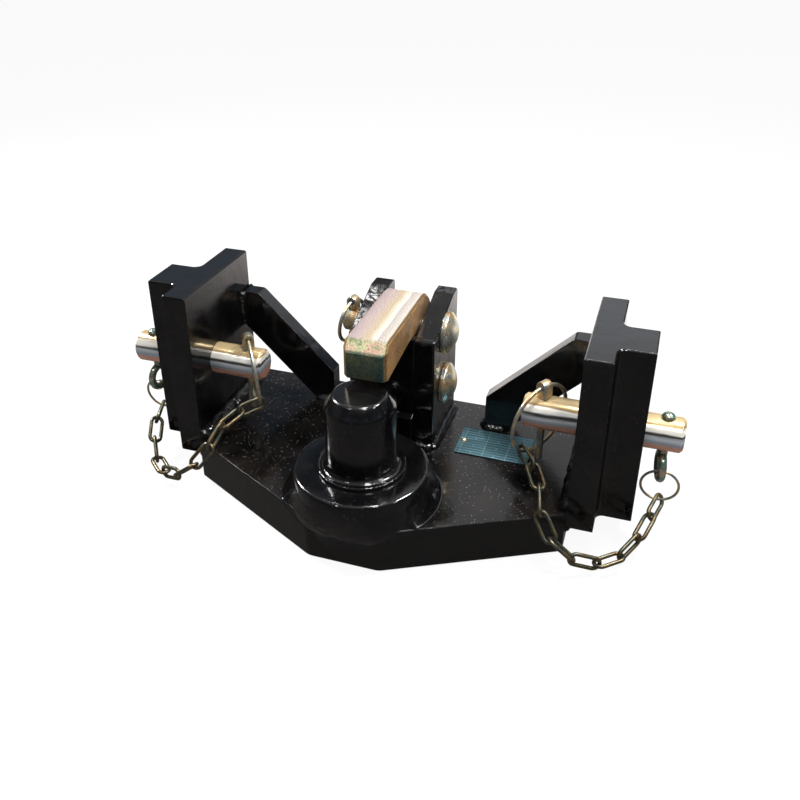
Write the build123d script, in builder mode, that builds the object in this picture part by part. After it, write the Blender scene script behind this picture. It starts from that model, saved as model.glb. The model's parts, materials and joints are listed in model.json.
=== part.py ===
"""Slide-in trailer coupling: a piton post with a hold-down on a plate between two T-section rails.

Millimetres. The origin is under the piton's axis on the base plate's underside.
+X runs to the right along the plate, +Y away from the trailer towards the tractor, +Z up.
"""
from build123d import *
from math import asin, cos, degrees, radians, sin, sqrt
import os

os.makedirs("parts", exist_ok=True)

# Clearances
RUN = 0.05            # radial running clearance of a pin in its bore
FIT = 0.02            # radial clearance of a welded post in its seat
REST = 0.3            # gap between pieces that lie beside each other

# Base plate
plate_thick = 30.0
plate_half = 126.5    # half width, up to the rails' inner faces
plate_rear = 125.0
nose_overhang = 7.3   # the flange reaches this far beyond the plate's nose
nose_half = 23.0
shoulder_y = 17.5     # where the slanted front edges meet the rails
nose_round = 12.0
plate_edge = 1.0

# Piton post
piton_r = 22.25
piton_top = 103.0
piton_foot_r = 21.9   # the post's foot is turned down where it stands in the flange and its weld
piton_bevel_h = 8.0
piton_bevel_w = 5.6
spigot_r = 16.0
spigot_depth = 26.0
flange_r = 43.3
flange_thick = 20.5
flange_round = 2.0
collar_w = 6.0
collar_h = 6.0
foot_weld = 8.0       # leg of the weld fillet round the flange

# T-section rails
rail_low = 17.5
rail_height = 120.0
flange_x = 17.0       # thickness of the rail's flange
tongue_x = 21.5       # reach of the tongue beyond the flange
rail_front = 20.0
rail_wide = 88.0
tongue_y0 = 38.5
tongue_wide = 31.0
rail_root_r = 5.0
rail_edge = 0.8

# Diagonal braces
brace_thick = 12.0
brace_top = 110.0
brace_flat = 13.0
brace_knee_x = 57.0
brace_knee_z = 55.0
brace_drop = 39.0     # height of the bar, measured vertically

# Cheeks, spacer and pins of the hold-down
cheek_inner = 16.0
cheek_thick = 13.5
cheek_gap = 14.7      # from the flange's rim to the cheeks' front edges
cheek_wide = 58.0
cheek_shoulder_z = 112.0
cheek_ledge = 4.0     # level run in front of the cheeks' slope
cheek_top = 127.0
cheek_crest = 12.0    # level run on the cheeks' top
cheek_round = 3.0
spacer_thick = 6.0
spacer_step = 4.0
spacer_step_z = 56.0

cross_r = 8.0         # both cross pins
pivot_in = 26.0       # pivot's axis behind the cheeks' front edges
pivot_z = 69.0
lock_rise = 38.5      # the lock pin stands this far above the pivot pin
head_r = 14.0
head_rim = 3.0
head_dome = 6.0
cross_tail = 11.5     # free end beyond the left cheek
pin_bevel = 1.2

# Hold-down
hold_half = 14.0
hold_nose_y = 8.0
hold_low = 107.5
hold_top = 132.0
hold_bevel = 7.5
hold_cheek = 2.6      # bevel of the nose's upright corners
hold_back_in = 11.0   # the arm's back in front of the cheeks' rear edges
hold_corner_r = 22.0
hold_eye_r = 15.5
hold_edge = 1.6
hold_rest = 112.6     # underside where the arm lies on the spacer
hold_land_out = 6.0   # the underside is level from this far in front of the cheeks
hold_lip = 8.0        # hooked tail's front edge in front of the pivot
hold_tail = 6.0       # height of the tail's back edge above the pivot

# Side pins
side_r = 11.0
side_in_reach = 36.5  # inner end beyond the rail's inner face
side_out_reach = 23.0 # outer end beyond the tongue
side_z = rail_low + rail_height / 2
side_bevel = 1.8
linch_in = 12.0       # linch pin's axis from the inner end
eye_in = 11.0         # eye's axis from the outer end

# Linch pins of the side pins and of the lock pin
shank_r = 2.5
side_linch_low = 25.0
linch_head_h = 11.0
linch_head_w = 8.0
linch_head_t = 6.5
ring_wire_r = 1.3
side_ring_r = 24.0
lock_shank_r = 2.25
lock_head_h = 9.0
lock_head_w = 7.5
lock_head_t = 6.0
lock_ring_r = 15.0
lock_linch_low = 6.0

# Eyes, split rings and chains
eye_wire_r = 2.6
eye_loop_r = 8.2
eye_stem_r = 3.0
eye_knob_r = 4.2
eye_knob_h = 3.0
eye_drop = 13.0       # centre of the loop below the pin's underside
split_wire_r = 0.85
split_r = 11.5
chain_wire_r = 1.3
chain_long = 19.6     # length of a link along its wire's centre line
chain_half_w = 3.9
chain_play = 0.3

# Type plate
tag_x0 = 44.0
tag_y0 = 60.0
tag_long = 50.0
tag_wide = 31.0
tag_thick = 0.8
tag_corner = 1.5
rivet_r = 2.2
rivet_dome = 1.3
rivet_in = 3.4
rivet_shank_r = 1.2
rivet_reach = 6.0     # depth of the rivets in the plate

# Weld beads
rail_leg = 7.0
under_leg = 5.0
brace_leg = 4.5
cheek_leg = 6.0
spacer_leg = 2.6

# Worked out from the sizes above
plate_nose = flange_r - nose_overhang
rail_in = plate_half
rail_out = rail_in + flange_x + tongue_x
rail_rear = rail_front + rail_wide
side_y = tongue_y0 + tongue_wide / 2
side_in = rail_in - side_in_reach
side_out = rail_out + side_out_reach
cheek_outer = cheek_inner + cheek_thick
cheek_front = flange_r + cheek_gap
cheek_rear = cheek_front + cheek_wide
pivot_y = cheek_front + pivot_in
hold_back = cheek_rear - hold_back_in
lock_z = pivot_z + lock_rise
side_linch_x = side_in + linch_in
eye_x = side_out - eye_in
flange_top = plate_thick + flange_thick
foot_top = flange_top + collar_h + REST
brace_front = rail_rear - brace_thick
tag_y = tag_y0 + tag_wide / 2
rivet_xs = (tag_x0 + rivet_in, tag_x0 + tag_long - rivet_in)


def save(part, node):
    """Label a finished piece and write it as its own file."""
    part.label = node
    export_step(part, f"parts/{node}.step")


def both(make, node):
    """Make the right-hand piece, mirror it for the left, and write both."""
    right = make()
    save(right, f"right_{node}")
    save(mirror(right, about=Plane.YZ), f"left_{node}")


def group(pieces):
    """Like pieces that share a node."""
    with BuildPart() as body:
        add(pieces)
    return body.part


def dome_mid(radius, height):
    """Middle of a dome's arc: its distance from the dome's axis, and its height above the rim."""
    ball = (radius ** 2 + height ** 2) / (2 * height)
    half = asin(radius / ball) / 2
    return ball * sin(half), height - ball * (1 - cos(half))


def bead(start, end, leg, up, out):
    """A fillet weld: a rounded three-sided bar from start to end, with legs along up and out."""
    run = Vector(*end) - Vector(*start)
    plane = Plane(origin=start, x_dir=out, z_dir=run)
    rise = 1 if plane.y_dir.dot(Vector(*up)) > 0 else -1
    with BuildPart() as weld:
        with BuildSketch(plane):
            with BuildLine():
                Line((0, 0), (leg, 0))
                ThreePointArc((leg, 0), (leg * 0.42, rise * leg * 0.42), (0, rise * leg))
                Line((0, rise * leg), (0, 0))
            make_face()
        extrude(amount=run.length)
    return weld.part


# Base plate with the spigot hole and the rivet holes of the type plate
with BuildPart() as base_plate:
    with BuildSketch():
        with BuildLine():
            Polyline(
                (nose_half, -plate_nose), (plate_half, shoulder_y), (plate_half, plate_rear),
                (-plate_half, plate_rear), (-plate_half, shoulder_y), (-nose_half, -plate_nose),
                close=True,
            )
        make_face()
    extrude(amount=plate_thick)
    nose_edges = base_plate.edges().filter_by(Axis.Z).sort_by(Axis.Y)[:2]
    fillet(nose_edges, nose_round)
    chamfer(base_plate.faces().sort_by(Axis.Z)[0].edges(), plate_edge)
    front_rims = base_plate.faces().sort_by(Axis.Z)[-1].edges().sort_by(Axis.Y)[:-3]
    chamfer(front_rims, plate_edge / 2)
    with Locations((0, 0, plate_thick)):
        Hole(spigot_r + FIT, depth=plate_thick)
    with Locations(*((x, tag_y, plate_thick) for x in rivet_xs)):
        Hole(rivet_shank_r + FIT, depth=rivet_reach + REST)
save(base_plate.part, "base_plate")

# Piton post: one turned piece with a bevelled crown and a spigot in the plate
with BuildPart() as piton:
    with BuildSketch(Plane.XZ):
        with BuildLine():
            Polyline(
                (0, plate_thick - spigot_depth), (spigot_r, plate_thick - spigot_depth),
                (spigot_r, plate_thick), (piton_foot_r, plate_thick), (piton_foot_r, foot_top),
                (piton_r, foot_top), (piton_r, piton_top - piton_bevel_h), (piton_r - piton_bevel_w, piton_top),
                (0, piton_top), close=True,
            )
        make_face()
    revolve(axis=Axis.Z)
    fillet(piton.edges().filter_by(GeomType.CIRCLE).group_by(Axis.Z)[-2], 1.5)
save(piton.part, "piton")

# Round flange that the post stands in
with BuildPart() as piton_flange:
    with BuildSketch(Plane.XY.offset(plate_thick)):
        Circle(flange_r)
        Circle(piton_foot_r + FIT, mode=Mode.SUBTRACT)
    extrude(amount=flange_thick)
    rim = piton_flange.faces().sort_by(Axis.Z)[-1].edges().sort_by(SortBy.RADIUS)[-1]
    fillet(rim, flange_round)
save(piton_flange.part, "piton_flange")

# Weld collar between the post and its flange
with BuildPart() as piton_weld:
    with BuildSketch(Plane.XZ):
        with BuildLine():
            inner = piton_foot_r + FIT
            Line((inner, flange_top), (inner + collar_w, flange_top))
            Line((inner + collar_w, flange_top), (inner + collar_w, flange_top + collar_h * 0.45))
            ThreePointArc(
                (inner + collar_w, flange_top + collar_h * 0.45),
                (inner + collar_w * 0.72, flange_top + collar_h * 0.86),
                (inner + collar_w * 0.35, flange_top + collar_h * 0.7),
            )
            Line((inner + collar_w * 0.35, flange_top + collar_h * 0.7), (inner, flange_top + collar_h))
            Line((inner, flange_top + collar_h), (inner, flange_top))
        make_face()
    revolve(axis=Axis.Z)
save(piton_weld.part, "piton_weld")

# Weld fillet between the flange and the plate, kept to the plate's outline at the nose
with BuildPart() as flange_weld:
    with BuildSketch(Plane.XZ):
        with BuildLine():
            foot = flange_r + FIT
            Line((foot, plate_thick), (foot + foot_weld, plate_thick))
            ThreePointArc(
                (foot + foot_weld, plate_thick),
                (foot + foot_weld * 0.5, plate_thick + foot_weld * 0.72),
                (foot, plate_thick + foot_weld * 1.4),
            )
            Line((foot, plate_thick + foot_weld * 1.4), (foot, plate_thick))
        make_face()
    revolve(axis=Axis.Z)
    with BuildSketch(Plane.XY.offset(plate_thick)):
        with BuildLine():
            Polyline(
                (nose_half, -plate_nose), (plate_half, shoulder_y), (plate_half, plate_rear),
                (-plate_half, plate_rear), (-plate_half, shoulder_y), (-nose_half, -plate_nose),
                close=True,
            )
        make_face()
    extrude(amount=foot_weld * 1.4, mode=Mode.INTERSECT)
save(flange_weld.part, "flange_weld")

# Weld run under the flange's overhang at the nose
with BuildPart() as nose_weld:
    with BuildSketch(Plane.YZ.offset(-nose_half + nose_round)):
        with BuildLine():
            Line((-plate_nose, plate_thick), (-plate_nose - nose_overhang * 0.8, plate_thick))
            ThreePointArc(
                (-plate_nose - nose_overhang * 0.8, plate_thick),
                (-plate_nose - nose_overhang * 0.5, plate_thick - nose_overhang * 0.7),
                (-plate_nose, plate_thick - nose_overhang * 1.6),
            )
            Line((-plate_nose, plate_thick - nose_overhang * 1.6), (-plate_nose, plate_thick))
        make_face()
    extrude(amount=2 * (nose_half - nose_round))
save(nose_weld.part, "nose_weld")

# Plug weld that closes the spigot hole from below
with BuildPart() as spigot_weld:
    with BuildSketch():
        Circle(spigot_r)
    extrude(amount=plate_thick - spigot_depth)
save(spigot_weld.part, "spigot_weld")


def rail():
    """Right-hand T-section rail with its pin bore."""
    with BuildPart() as body:
        with BuildSketch(Plane.XY.offset(rail_low)):
            with BuildLine():
                Polyline(
                    (rail_in, rail_front), (rail_in + flange_x, rail_front),
                    (rail_in + flange_x, tongue_y0), (rail_out, tongue_y0),
                    (rail_out, tongue_y0 + tongue_wide), (rail_in + flange_x, tongue_y0 + tongue_wide),
                    (rail_in + flange_x, rail_rear), (rail_in, rail_rear), close=True,
                )
            make_face()
            roots = [
                v for v in vertices()
                if abs(v.X - rail_in - flange_x) < 0.1 and tongue_y0 - 1 < v.Y < tongue_y0 + tongue_wide + 1
            ]
            fillet(roots, rail_root_r)
        extrude(amount=rail_height)
        chamfer(body.faces().sort_by(Axis.Z)[-1].edges(), rail_edge)
        chamfer(body.faces().sort_by(Axis.Z)[0].edges(), rail_edge)
        with BuildSketch(Plane.YZ.offset(rail_in - 1)):
            with Locations((side_y, side_z)):
                Circle(side_r + RUN)
        extrude(amount=rail_out - rail_in + 2, mode=Mode.SUBTRACT)
    return body.part


both(rail, "rail")


brace_x1 = rail_in - FIT
brace_top_in = brace_x1 - brace_flat
brace_slope = (brace_top - brace_knee_z) / (brace_top_in - brace_knee_x)
brace_low_at_rail = brace_top - brace_drop + brace_slope * brace_flat
brace_foot_x = brace_knee_x + (plate_thick - brace_knee_z + brace_drop) / brace_slope


def brace():
    """Right-hand flat bar from the plate's rear up to the rail."""
    with BuildPart() as body:
        with BuildSketch(Plane.XZ.offset(-rail_rear)):
            with BuildLine():
                Polyline(
                    (brace_knee_x, plate_thick), (brace_knee_x, brace_knee_z), (brace_top_in, brace_top),
                    (brace_x1, brace_top), (brace_x1, brace_low_at_rail), (brace_foot_x, plate_thick),
                    close=True,
                )
            make_face()
        extrude(amount=brace_thick)
        chamfer(body.edges().filter_by(Axis.Y).group_by(Axis.Z)[-1], 1.0)
    return body.part


both(brace, "brace")


def cheek():
    """Right-hand cheek plate with bores for both cross pins."""
    with BuildPart() as body:
        with BuildSketch(Plane.YZ.offset(cheek_inner)):
            with BuildLine():
                Polyline(
                    (cheek_front, plate_thick), (cheek_front, cheek_shoulder_z),
                    (cheek_front + cheek_ledge, cheek_shoulder_z), (cheek_rear - cheek_crest, cheek_top),
                    (cheek_rear, cheek_top), (cheek_rear, plate_thick), close=True,
                )
            make_face()
            columns = vertices().group_by(Axis.X)
            fillet(columns[0].sort_by(Axis.Y)[-1:] + columns[2] + columns[3], cheek_round)
            with Locations((pivot_y, pivot_z), (pivot_y, lock_z)):
                Circle(cross_r + RUN, mode=Mode.SUBTRACT)
        extrude(amount=cheek_thick)
        chamfer(body.faces().sort_by(Axis.X)[-1].outer_wire().edges().group_by(Axis.Z)[1:], 0.8)
    return body.part


both(cheek, "cheek")

# Spacer plate between the cheeks, which the hold-down lies on
with BuildPart() as spacer:
    with BuildSketch(Plane.YZ.offset(-cheek_inner + FIT)):
        with BuildLine():
            spacer_top = hold_rest - REST
            Polyline(
                (cheek_front + spacer_thick, plate_thick), (cheek_front + spacer_thick, spacer_top),
                (cheek_front, spacer_top), (cheek_front, spacer_step_z),
                (cheek_front - spacer_step, spacer_step_z - spacer_step / 2),
                (cheek_front - spacer_step, plate_thick), close=True,
            )
        make_face()
    extrude(amount=2 * (cheek_inner - FIT))
save(spacer.part, "cheek_spacer")


def cross_pin(z):
    """Pin through both cheeks: domed head on the right, bored tail on the left."""
    tail = -cheek_outer - cross_tail
    mid_r, mid_x = dome_mid(head_r, head_dome)
    with BuildPart() as body:
        with BuildSketch(Plane.XY.offset(z)):
            with BuildLine():
                seat = cheek_outer + RUN
                crown = seat + head_rim
                Polyline(
                    (tail, pivot_y), (tail, pivot_y + cross_r - pin_bevel),
                    (tail + pin_bevel, pivot_y + cross_r), (seat, pivot_y + cross_r),
                    (seat, pivot_y + head_r), (crown, pivot_y + head_r),
                )
                ThreePointArc(
                    (crown, pivot_y + head_r), (crown + mid_x, pivot_y + mid_r), (crown + head_dome, pivot_y)
                )
                Line((crown + head_dome, pivot_y), (tail, pivot_y))
            make_face()
        revolve(axis=Axis((0, pivot_y, z), (1, 0, 0)))
        with BuildSketch(Plane.XY.offset(z + 2 * cross_r)):
            with Locations((-cheek_outer - cross_tail / 2, pivot_y)):
                Circle(lock_shank_r + RUN)
        extrude(amount=-4 * cross_r, mode=Mode.SUBTRACT)
    return body.part


save(cross_pin(pivot_z), "pivot_pin")
save(cross_pin(lock_z), "lock_pin")


# Hold-down: an arm over the post and a hooked tail that turns on the pivot pin.
# Its mouth follows the lock pin's path round the pivot and is open to the front.
mouth_in = lock_rise - cross_r - RUN
mouth_out = lock_rise + cross_r + RUN
lip_y = pivot_y - hold_lip
tail_z = pivot_z + hold_tail
land_y = cheek_front - hold_land_out
with BuildPart() as hold_down:
    with BuildSketch(Plane.YZ.offset(-hold_half)):
        with BuildLine():
            Line((hold_nose_y, hold_low), (hold_nose_y, hold_top - hold_bevel))
            Line((hold_nose_y, hold_top - hold_bevel), (hold_nose_y + hold_bevel, hold_top))
            Line((hold_nose_y + hold_bevel, hold_top), (hold_back - hold_corner_r, hold_top))
            RadiusArc(
                (hold_back - hold_corner_r, hold_top), (hold_back, hold_top - hold_corner_r), hold_corner_r
            )
            Line((hold_back, hold_top - hold_corner_r), (hold_back, tail_z))
            Line((hold_back, tail_z), (pivot_y + hold_eye_r * 0.77, pivot_z - hold_eye_r * 0.64))
            Line((pivot_y + hold_eye_r * 0.77, pivot_z - hold_eye_r * 0.64), (lip_y, pivot_z))
            Line((lip_y, pivot_z), (lip_y, hold_rest))
            Line((lip_y, hold_rest), (land_y, hold_rest))
            Line((land_y, hold_rest), (hold_nose_y, hold_low))
        make_face()
        with Locations((pivot_y, pivot_z)):
            Circle(hold_eye_r)
            Circle(cross_r + RUN, mode=Mode.SUBTRACT)
        with Locations((pivot_y, lock_z)):
            Circle(cross_r + RUN, mode=Mode.SUBTRACT)
    extrude(amount=2 * hold_half)
    with BuildSketch(Plane.YZ.offset(-hold_half - 1)):
        with BuildLine():
            CenterArc((pivot_y, pivot_z), mouth_out, 90, 110)
            CenterArc((pivot_y, pivot_z), mouth_in, 90, 110)
            Line((pivot_y, pivot_z + mouth_in), (pivot_y, pivot_z + mouth_out))
            Line(
                (pivot_y - mouth_in * cos(radians(20)), pivot_z - mouth_in * sin(radians(20))),
                (pivot_y - mouth_out * cos(radians(20)), pivot_z - mouth_out * sin(radians(20))),
            )
        make_face()
    extrude(amount=2 * hold_half + 2, mode=Mode.SUBTRACT)
    nose_corners = hold_down.edges().filter_by(Axis.Z).sort_by(Axis.Y)[:2]
    chamfer(nose_corners, hold_cheek)
    top_rims = [
        e for e in hold_down.edges().filter_by(Axis.Y)
        if e.center().Z > hold_top - 0.1
    ]
    chamfer(top_rims, hold_edge)
save(hold_down.part, "hold_down")


def side_pin():
    """Right-hand slide-in pin, bored for its linch pin and its eye."""
    with BuildPart() as body:
        with BuildSketch(Plane(origin=(side_in, side_y, side_z), x_dir=(0, 1, 0), z_dir=(1, 0, 0))):
            Circle(side_r)
        extrude(amount=side_out - side_in)
        chamfer(body.edges().filter_by(GeomType.CIRCLE), side_bevel)
        with BuildSketch(Plane.XY.offset(side_z + 2 * side_r)):
            with Locations((side_linch_x, side_y)):
                Circle(shank_r + RUN)
            with Locations((eye_x, side_y)):
                Circle(eye_stem_r + FIT)
        extrude(amount=-4 * side_r, mode=Mode.SUBTRACT)
    return body.part


both(side_pin, "side_pin")


def linch_pin(foot, turn, shank, reach, head):
    """Linch pin: pointed shank, and a round-topped head bored for its ring.

    foot is the point under the head, turn the angle of the ring's bore from +Y towards +X,
    reach the shank's length and head the head's height, width and thickness.
    """
    high, wide, thick = head
    across = Vector(sin(radians(turn)), cos(radians(turn)), 0)
    with BuildPart() as body:
        with BuildSketch(Plane(origin=foot, x_dir=(1, 0, 0), z_dir=(0, 0, -1))):
            Circle(shank)
        extrude(amount=reach)
        chamfer(body.faces().sort_by(Axis.Z)[0].edges(), shank * 0.5)
        face = Plane(origin=foot - across * (thick / 2), x_dir=across.cross(Vector(0, 0, 1)), z_dir=across)
        rise = 1 if face.y_dir.Z > 0 else -1
        bore_z = high - wide / 2
        with BuildSketch(face):
            with BuildLine():
                Line((-wide / 2, 0), (wide / 2, 0))
                Line((wide / 2, 0), (wide / 2, rise * bore_z))
                ThreePointArc((wide / 2, rise * bore_z), (0, rise * high), (-wide / 2, rise * bore_z))
                Line((-wide / 2, rise * bore_z), (-wide / 2, 0))
            make_face()
            with Locations((0, rise * bore_z)):
                Circle(ring_wire_r + 0.7, mode=Mode.SUBTRACT)
        extrude(amount=thick)
    return body.part


def ring_plane(top, turn, lean, radius):
    """Plane of a ring that hangs from top: x_dir along the bore, y_dir up the ring, leaning to -X."""
    across = Vector(sin(radians(turn)), cos(radians(turn)), 0)
    aside = Vector(-cos(radians(turn)), sin(radians(turn)), 0)
    down = Vector(0, 0, -cos(radians(lean))) + aside * sin(radians(lean))
    return Plane(origin=top + down * radius, x_dir=across, z_dir=across.cross(-down))


def wire_ring(plane, radius, wire):
    """Closed round ring of wire about the plane's normal."""
    with BuildPart() as body:
        with BuildSketch(Plane(origin=plane.origin, x_dir=plane.x_dir, z_dir=plane.y_dir)):
            with Locations((radius, 0)):
                Circle(wire)
        revolve(axis=Axis(plane.origin, plane.z_dir))
    return body.part


# Linch pins of the side pins, each with the ring that snaps round its pin
side_turn = 33.0
side_foot = Vector(side_linch_x, side_y, side_z + side_r + REST)
side_hang = side_foot + Vector(0, 0, linch_head_h - linch_head_w / 2)
side_lean = degrees((shank_r + ring_wire_r + REST / 2) / (2 * side_ring_r))
side_ring_at = ring_plane(side_hang, side_turn, side_lean, side_ring_r)


def side_linch():
    """Right-hand linch pin."""
    reach = 2 * side_r + REST + side_linch_low
    return linch_pin(side_foot, side_turn, shank_r, reach, (linch_head_h, linch_head_w, linch_head_t))


def side_ring():
    """Right-hand linch ring."""
    return wire_ring(side_ring_at, side_ring_r, ring_wire_r)


both(side_linch, "linch_pin")
both(side_ring, "linch_ring")

# Linch pin and ring in the lock pin's tail
lock_turn = 12.0
tail_x = -cheek_outer - cross_tail / 2
lock_foot = Vector(tail_x, pivot_y, lock_z + cross_r + REST)
lock_hang = lock_foot + Vector(0, 0, lock_head_h - lock_head_w / 2)
lock_lean = degrees((lock_shank_r + ring_wire_r + REST / 2) / (2 * lock_ring_r))
lock_reach = 2 * cross_r + REST + lock_linch_low
save(
    linch_pin(lock_foot, lock_turn, lock_shank_r, lock_reach, (lock_head_h, lock_head_w, lock_head_t)),
    "lock_linch_pin",
)
save(wire_ring(ring_plane(lock_hang, lock_turn, lock_lean, lock_ring_r), lock_ring_r, ring_wire_r), "lock_linch_ring")

# Split pin that keeps the pivot pin in the cheeks, put in from below, clear of the lock pin's ring
split_pin_r = lock_shank_r - 0.1
split_pin_reach = 3.5
split_pin_eye = 2.6
with BuildPart() as pivot_split_pin:
    eye_z = pivot_z - cross_r - split_pin_eye - split_pin_r
    with BuildSketch(Plane.XY.offset(eye_z + split_pin_eye)):
        with Locations((tail_x, pivot_y)):
            Circle(split_pin_r)
    extrude(amount=2 * cross_r + split_pin_r + split_pin_reach)
    with BuildSketch(Plane(origin=(tail_x, pivot_y, eye_z), x_dir=(0, 1, 0), z_dir=(0, 0, 1))):
        with Locations((split_pin_eye, 0)):
            Circle(split_pin_r * 0.6)
    revolve(axis=Axis((tail_x, pivot_y, eye_z), (1, 0, 0)))
save(pivot_split_pin.part, "pivot_split_pin")

# Eyes in the side pins' outer ends: stem, riveted knob and loop in one piece
eye_turn = 10.0
eye_centre = Vector(eye_x, side_y, side_z - side_r - eye_drop)


def eye():
    """Right-hand eye that tethers the chain."""
    stem_top = side_z + side_r
    facing = Vector(cos(radians(eye_turn)), sin(radians(eye_turn)), 0)
    with BuildPart() as body:
        with BuildSketch(Plane.XY.offset(stem_top + REST)):
            with Locations((eye_x, side_y)):
                Circle(eye_knob_r)
        extrude(amount=eye_knob_h)
        fillet(body.faces().sort_by(Axis.Z)[-1].edges(), eye_knob_h * 0.6)
        with BuildSketch(Plane.XY.offset(stem_top + REST)):
            with Locations((eye_x, side_y)):
                Circle(eye_stem_r)
        extrude(amount=-(2 * side_r + REST + eye_drop - eye_loop_r))
        with BuildSketch(Plane(origin=eye_centre, x_dir=(0, 0, 1), z_dir=facing.cross(Vector(0, 0, 1)))):
            with Locations((eye_loop_r, 0)):
                Circle(eye_wire_r)
        revolve(axis=Axis(eye_centre, facing))
    return body.part


both(eye, "pin_eye")

# Split rings: each hangs in its eye and holds the end of the chain
eye_seat = eye_centre - Vector(0, 0, eye_loop_r)
split_hang = eye_seat + Vector(0, 0, eye_wire_r + split_wire_r + REST / 2)
split_down = Vector(0.14, 0.09, -0.99).normalized()
split_at = Plane(
    origin=split_hang + split_down * split_r, x_dir=-split_down, z_dir=split_down.cross(Vector(0.99, 0, 0.14))
)


def split_ring():
    """Right-hand split ring."""
    return wire_ring(split_at, split_r, split_wire_r)


both(split_ring, "split_ring")


def link(start, end, past_start, past_end, side):
    """One chain link: a round-ended loop of wire that reaches past both of its joints."""
    along = (end - start).normalized()
    wide = (side - along * side.dot(along)).normalized()
    tip0 = start - along * past_start
    tip1 = end + along * past_end
    bend = chain_half_w
    c0 = tip0 + along * bend
    c1 = tip1 - along * bend
    with BuildPart() as body:
        with BuildLine():
            Line(c0 + wide * bend, c1 + wide * bend)
            ThreePointArc(c1 + wide * bend, tip1, c1 - wide * bend)
            Line(c1 - wide * bend, c0 - wide * bend)
            ThreePointArc(c0 - wide * bend, tip0, c0 + wide * bend)
        with BuildSketch(Plane(origin=c0 + wide * bend, z_dir=along)):
            Circle(chain_wire_r)
        sweep()
    return body.part


def elbow(start, end, reach_start, reach_end, toward):
    """The point that lies at both reaches from start and end, on the side of toward."""
    gap = end - start
    along = gap.normalized()
    foot = (gap.length ** 2 + reach_start ** 2 - reach_end ** 2) / (2 * gap.length)
    side = toward - start
    side = (side - along * side.dot(along)).normalized()
    return start + along * foot + side * sqrt(reach_start ** 2 - foot ** 2)


def chain(first, across, last, marks, turns):
    """Right-hand chain from first, on the linch ring, to last, on the split ring.

    Each joint is laid from the one before it towards its mark, the last one by an elbow, and the
    chain gains links where it has further to go. across runs along the linch ring's wire at first.
    Each link is turned by a right angle from its neighbour, and then by its own angle in turns.
    """
    reach = chain_wire_r + chain_play / 2
    past_first = chain_wire_r + ring_wire_r + chain_play
    past_last = chain_wire_r + split_wire_r + chain_play
    pitch = chain_long - 2 * reach
    end_pitch = chain_long - reach - past_last
    joints = [first]
    for mark in marks[:-1]:
        span = chain_long - reach - past_first if len(joints) == 1 else pitch
        joints.append(joints[-1] + (mark - joints[-1]).normalized() * span)
    while (last - joints[-1]).length > pitch + end_pitch - chain_play:
        joints.append(joints[-1] + (last - joints[-1]).normalized() * pitch)
    while (last - joints[-1]).length < pitch / 2:
        joints.pop()
    joints.append(elbow(joints[-1], last, pitch, end_pitch, marks[-1]))
    joints.append(last)
    links = []
    normal = across
    for number in range(len(joints) - 1):
        turn = turns[number % len(turns)]
        along = (joints[number + 1] - joints[number]).normalized()
        side = normal.cross(along).normalized() if number == 0 else along.cross(normal).normalized()
        side = side * cos(radians(turn)) + along.cross(side) * sin(radians(turn))
        past_start = past_first if number == 0 else reach
        past_end = past_last if number == len(joints) - 2 else reach
        links.append(link(joints[number], joints[number + 1], past_start, past_end, side))
        normal = side
    return links


# The chain hangs from the linch ring round the front of the rail to the split ring
ring_hold = 31.0
ring_down = side_ring_at.y_dir * -cos(radians(ring_hold)) - side_ring_at.x_dir * sin(radians(ring_hold))
near_ring = Vector(side_linch_x, rail_front, side_z)
under_rail = Vector(rail_in, rail_front, 0)
under_eye = Vector(eye_x, rail_front, 0)
chain_marks = [
    near_ring + Vector(-0.5, 13.6, -27.6), near_ring + Vector(6.7, -0.8, -32.2),
    near_ring + Vector(10.1, -13.7, -42.3), under_rail + Vector(-5.3, -21.2, 23.4),
    under_rail + Vector(8.0, -21.8, 13.4), under_rail + Vector(22.8, -16.0, 8.2),
    under_eye + Vector(-15.0, -5.2, 8.9), under_eye + Vector(-6.3, 7.6, 15.3),
    under_eye + Vector(-1.0, 21.0, 23.7),
]
chain_turns = [24, 12, 13, 24, -11, 12, -12, 12, -20, 0]


def side_chain():
    """Right-hand chain."""
    links = chain(
        side_ring_at.origin + ring_down * side_ring_r, side_ring_at.z_dir.cross(ring_down),
        split_hang + split_down * 2 * split_r, chain_marks, chain_turns,
    )
    return group(links)


both(side_chain, "chain")

# Type plate with its two rivets
with BuildPart() as type_plate:
    with BuildSketch(Plane.XY.offset(plate_thick)):
        with Locations((tag_x0 + tag_long / 2, tag_y)):
            RectangleRounded(tag_long, tag_wide, tag_corner)
        with Locations(*((x, tag_y) for x in rivet_xs)):
            Circle(rivet_shank_r + FIT, mode=Mode.SUBTRACT)
    extrude(amount=tag_thick)
save(type_plate.part, "type_plate")

def rivet(x):
    """Round-headed rivet through the type plate into the base plate."""
    seat = plate_thick + tag_thick
    foot = plate_thick - rivet_reach
    mid_r, mid_z = dome_mid(rivet_r, rivet_dome)
    with BuildPart() as body:
        with BuildSketch(Plane(origin=(x, tag_y, 0), x_dir=(1, 0, 0), z_dir=(0, -1, 0))):
            with BuildLine():
                Polyline(
                    (0, seat + rivet_dome), (0, foot), (rivet_shank_r, foot), (rivet_shank_r, seat), (rivet_r, seat)
                )
                ThreePointArc((rivet_r, seat), (mid_r, seat + mid_z), (0, seat + rivet_dome))
            make_face()
        revolve(axis=Axis((x, tag_y, 0), (0, 0, 1)))
    return body.part


save(group([rivet(x) for x in rivet_xs]), "type_plate_rivets")


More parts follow.
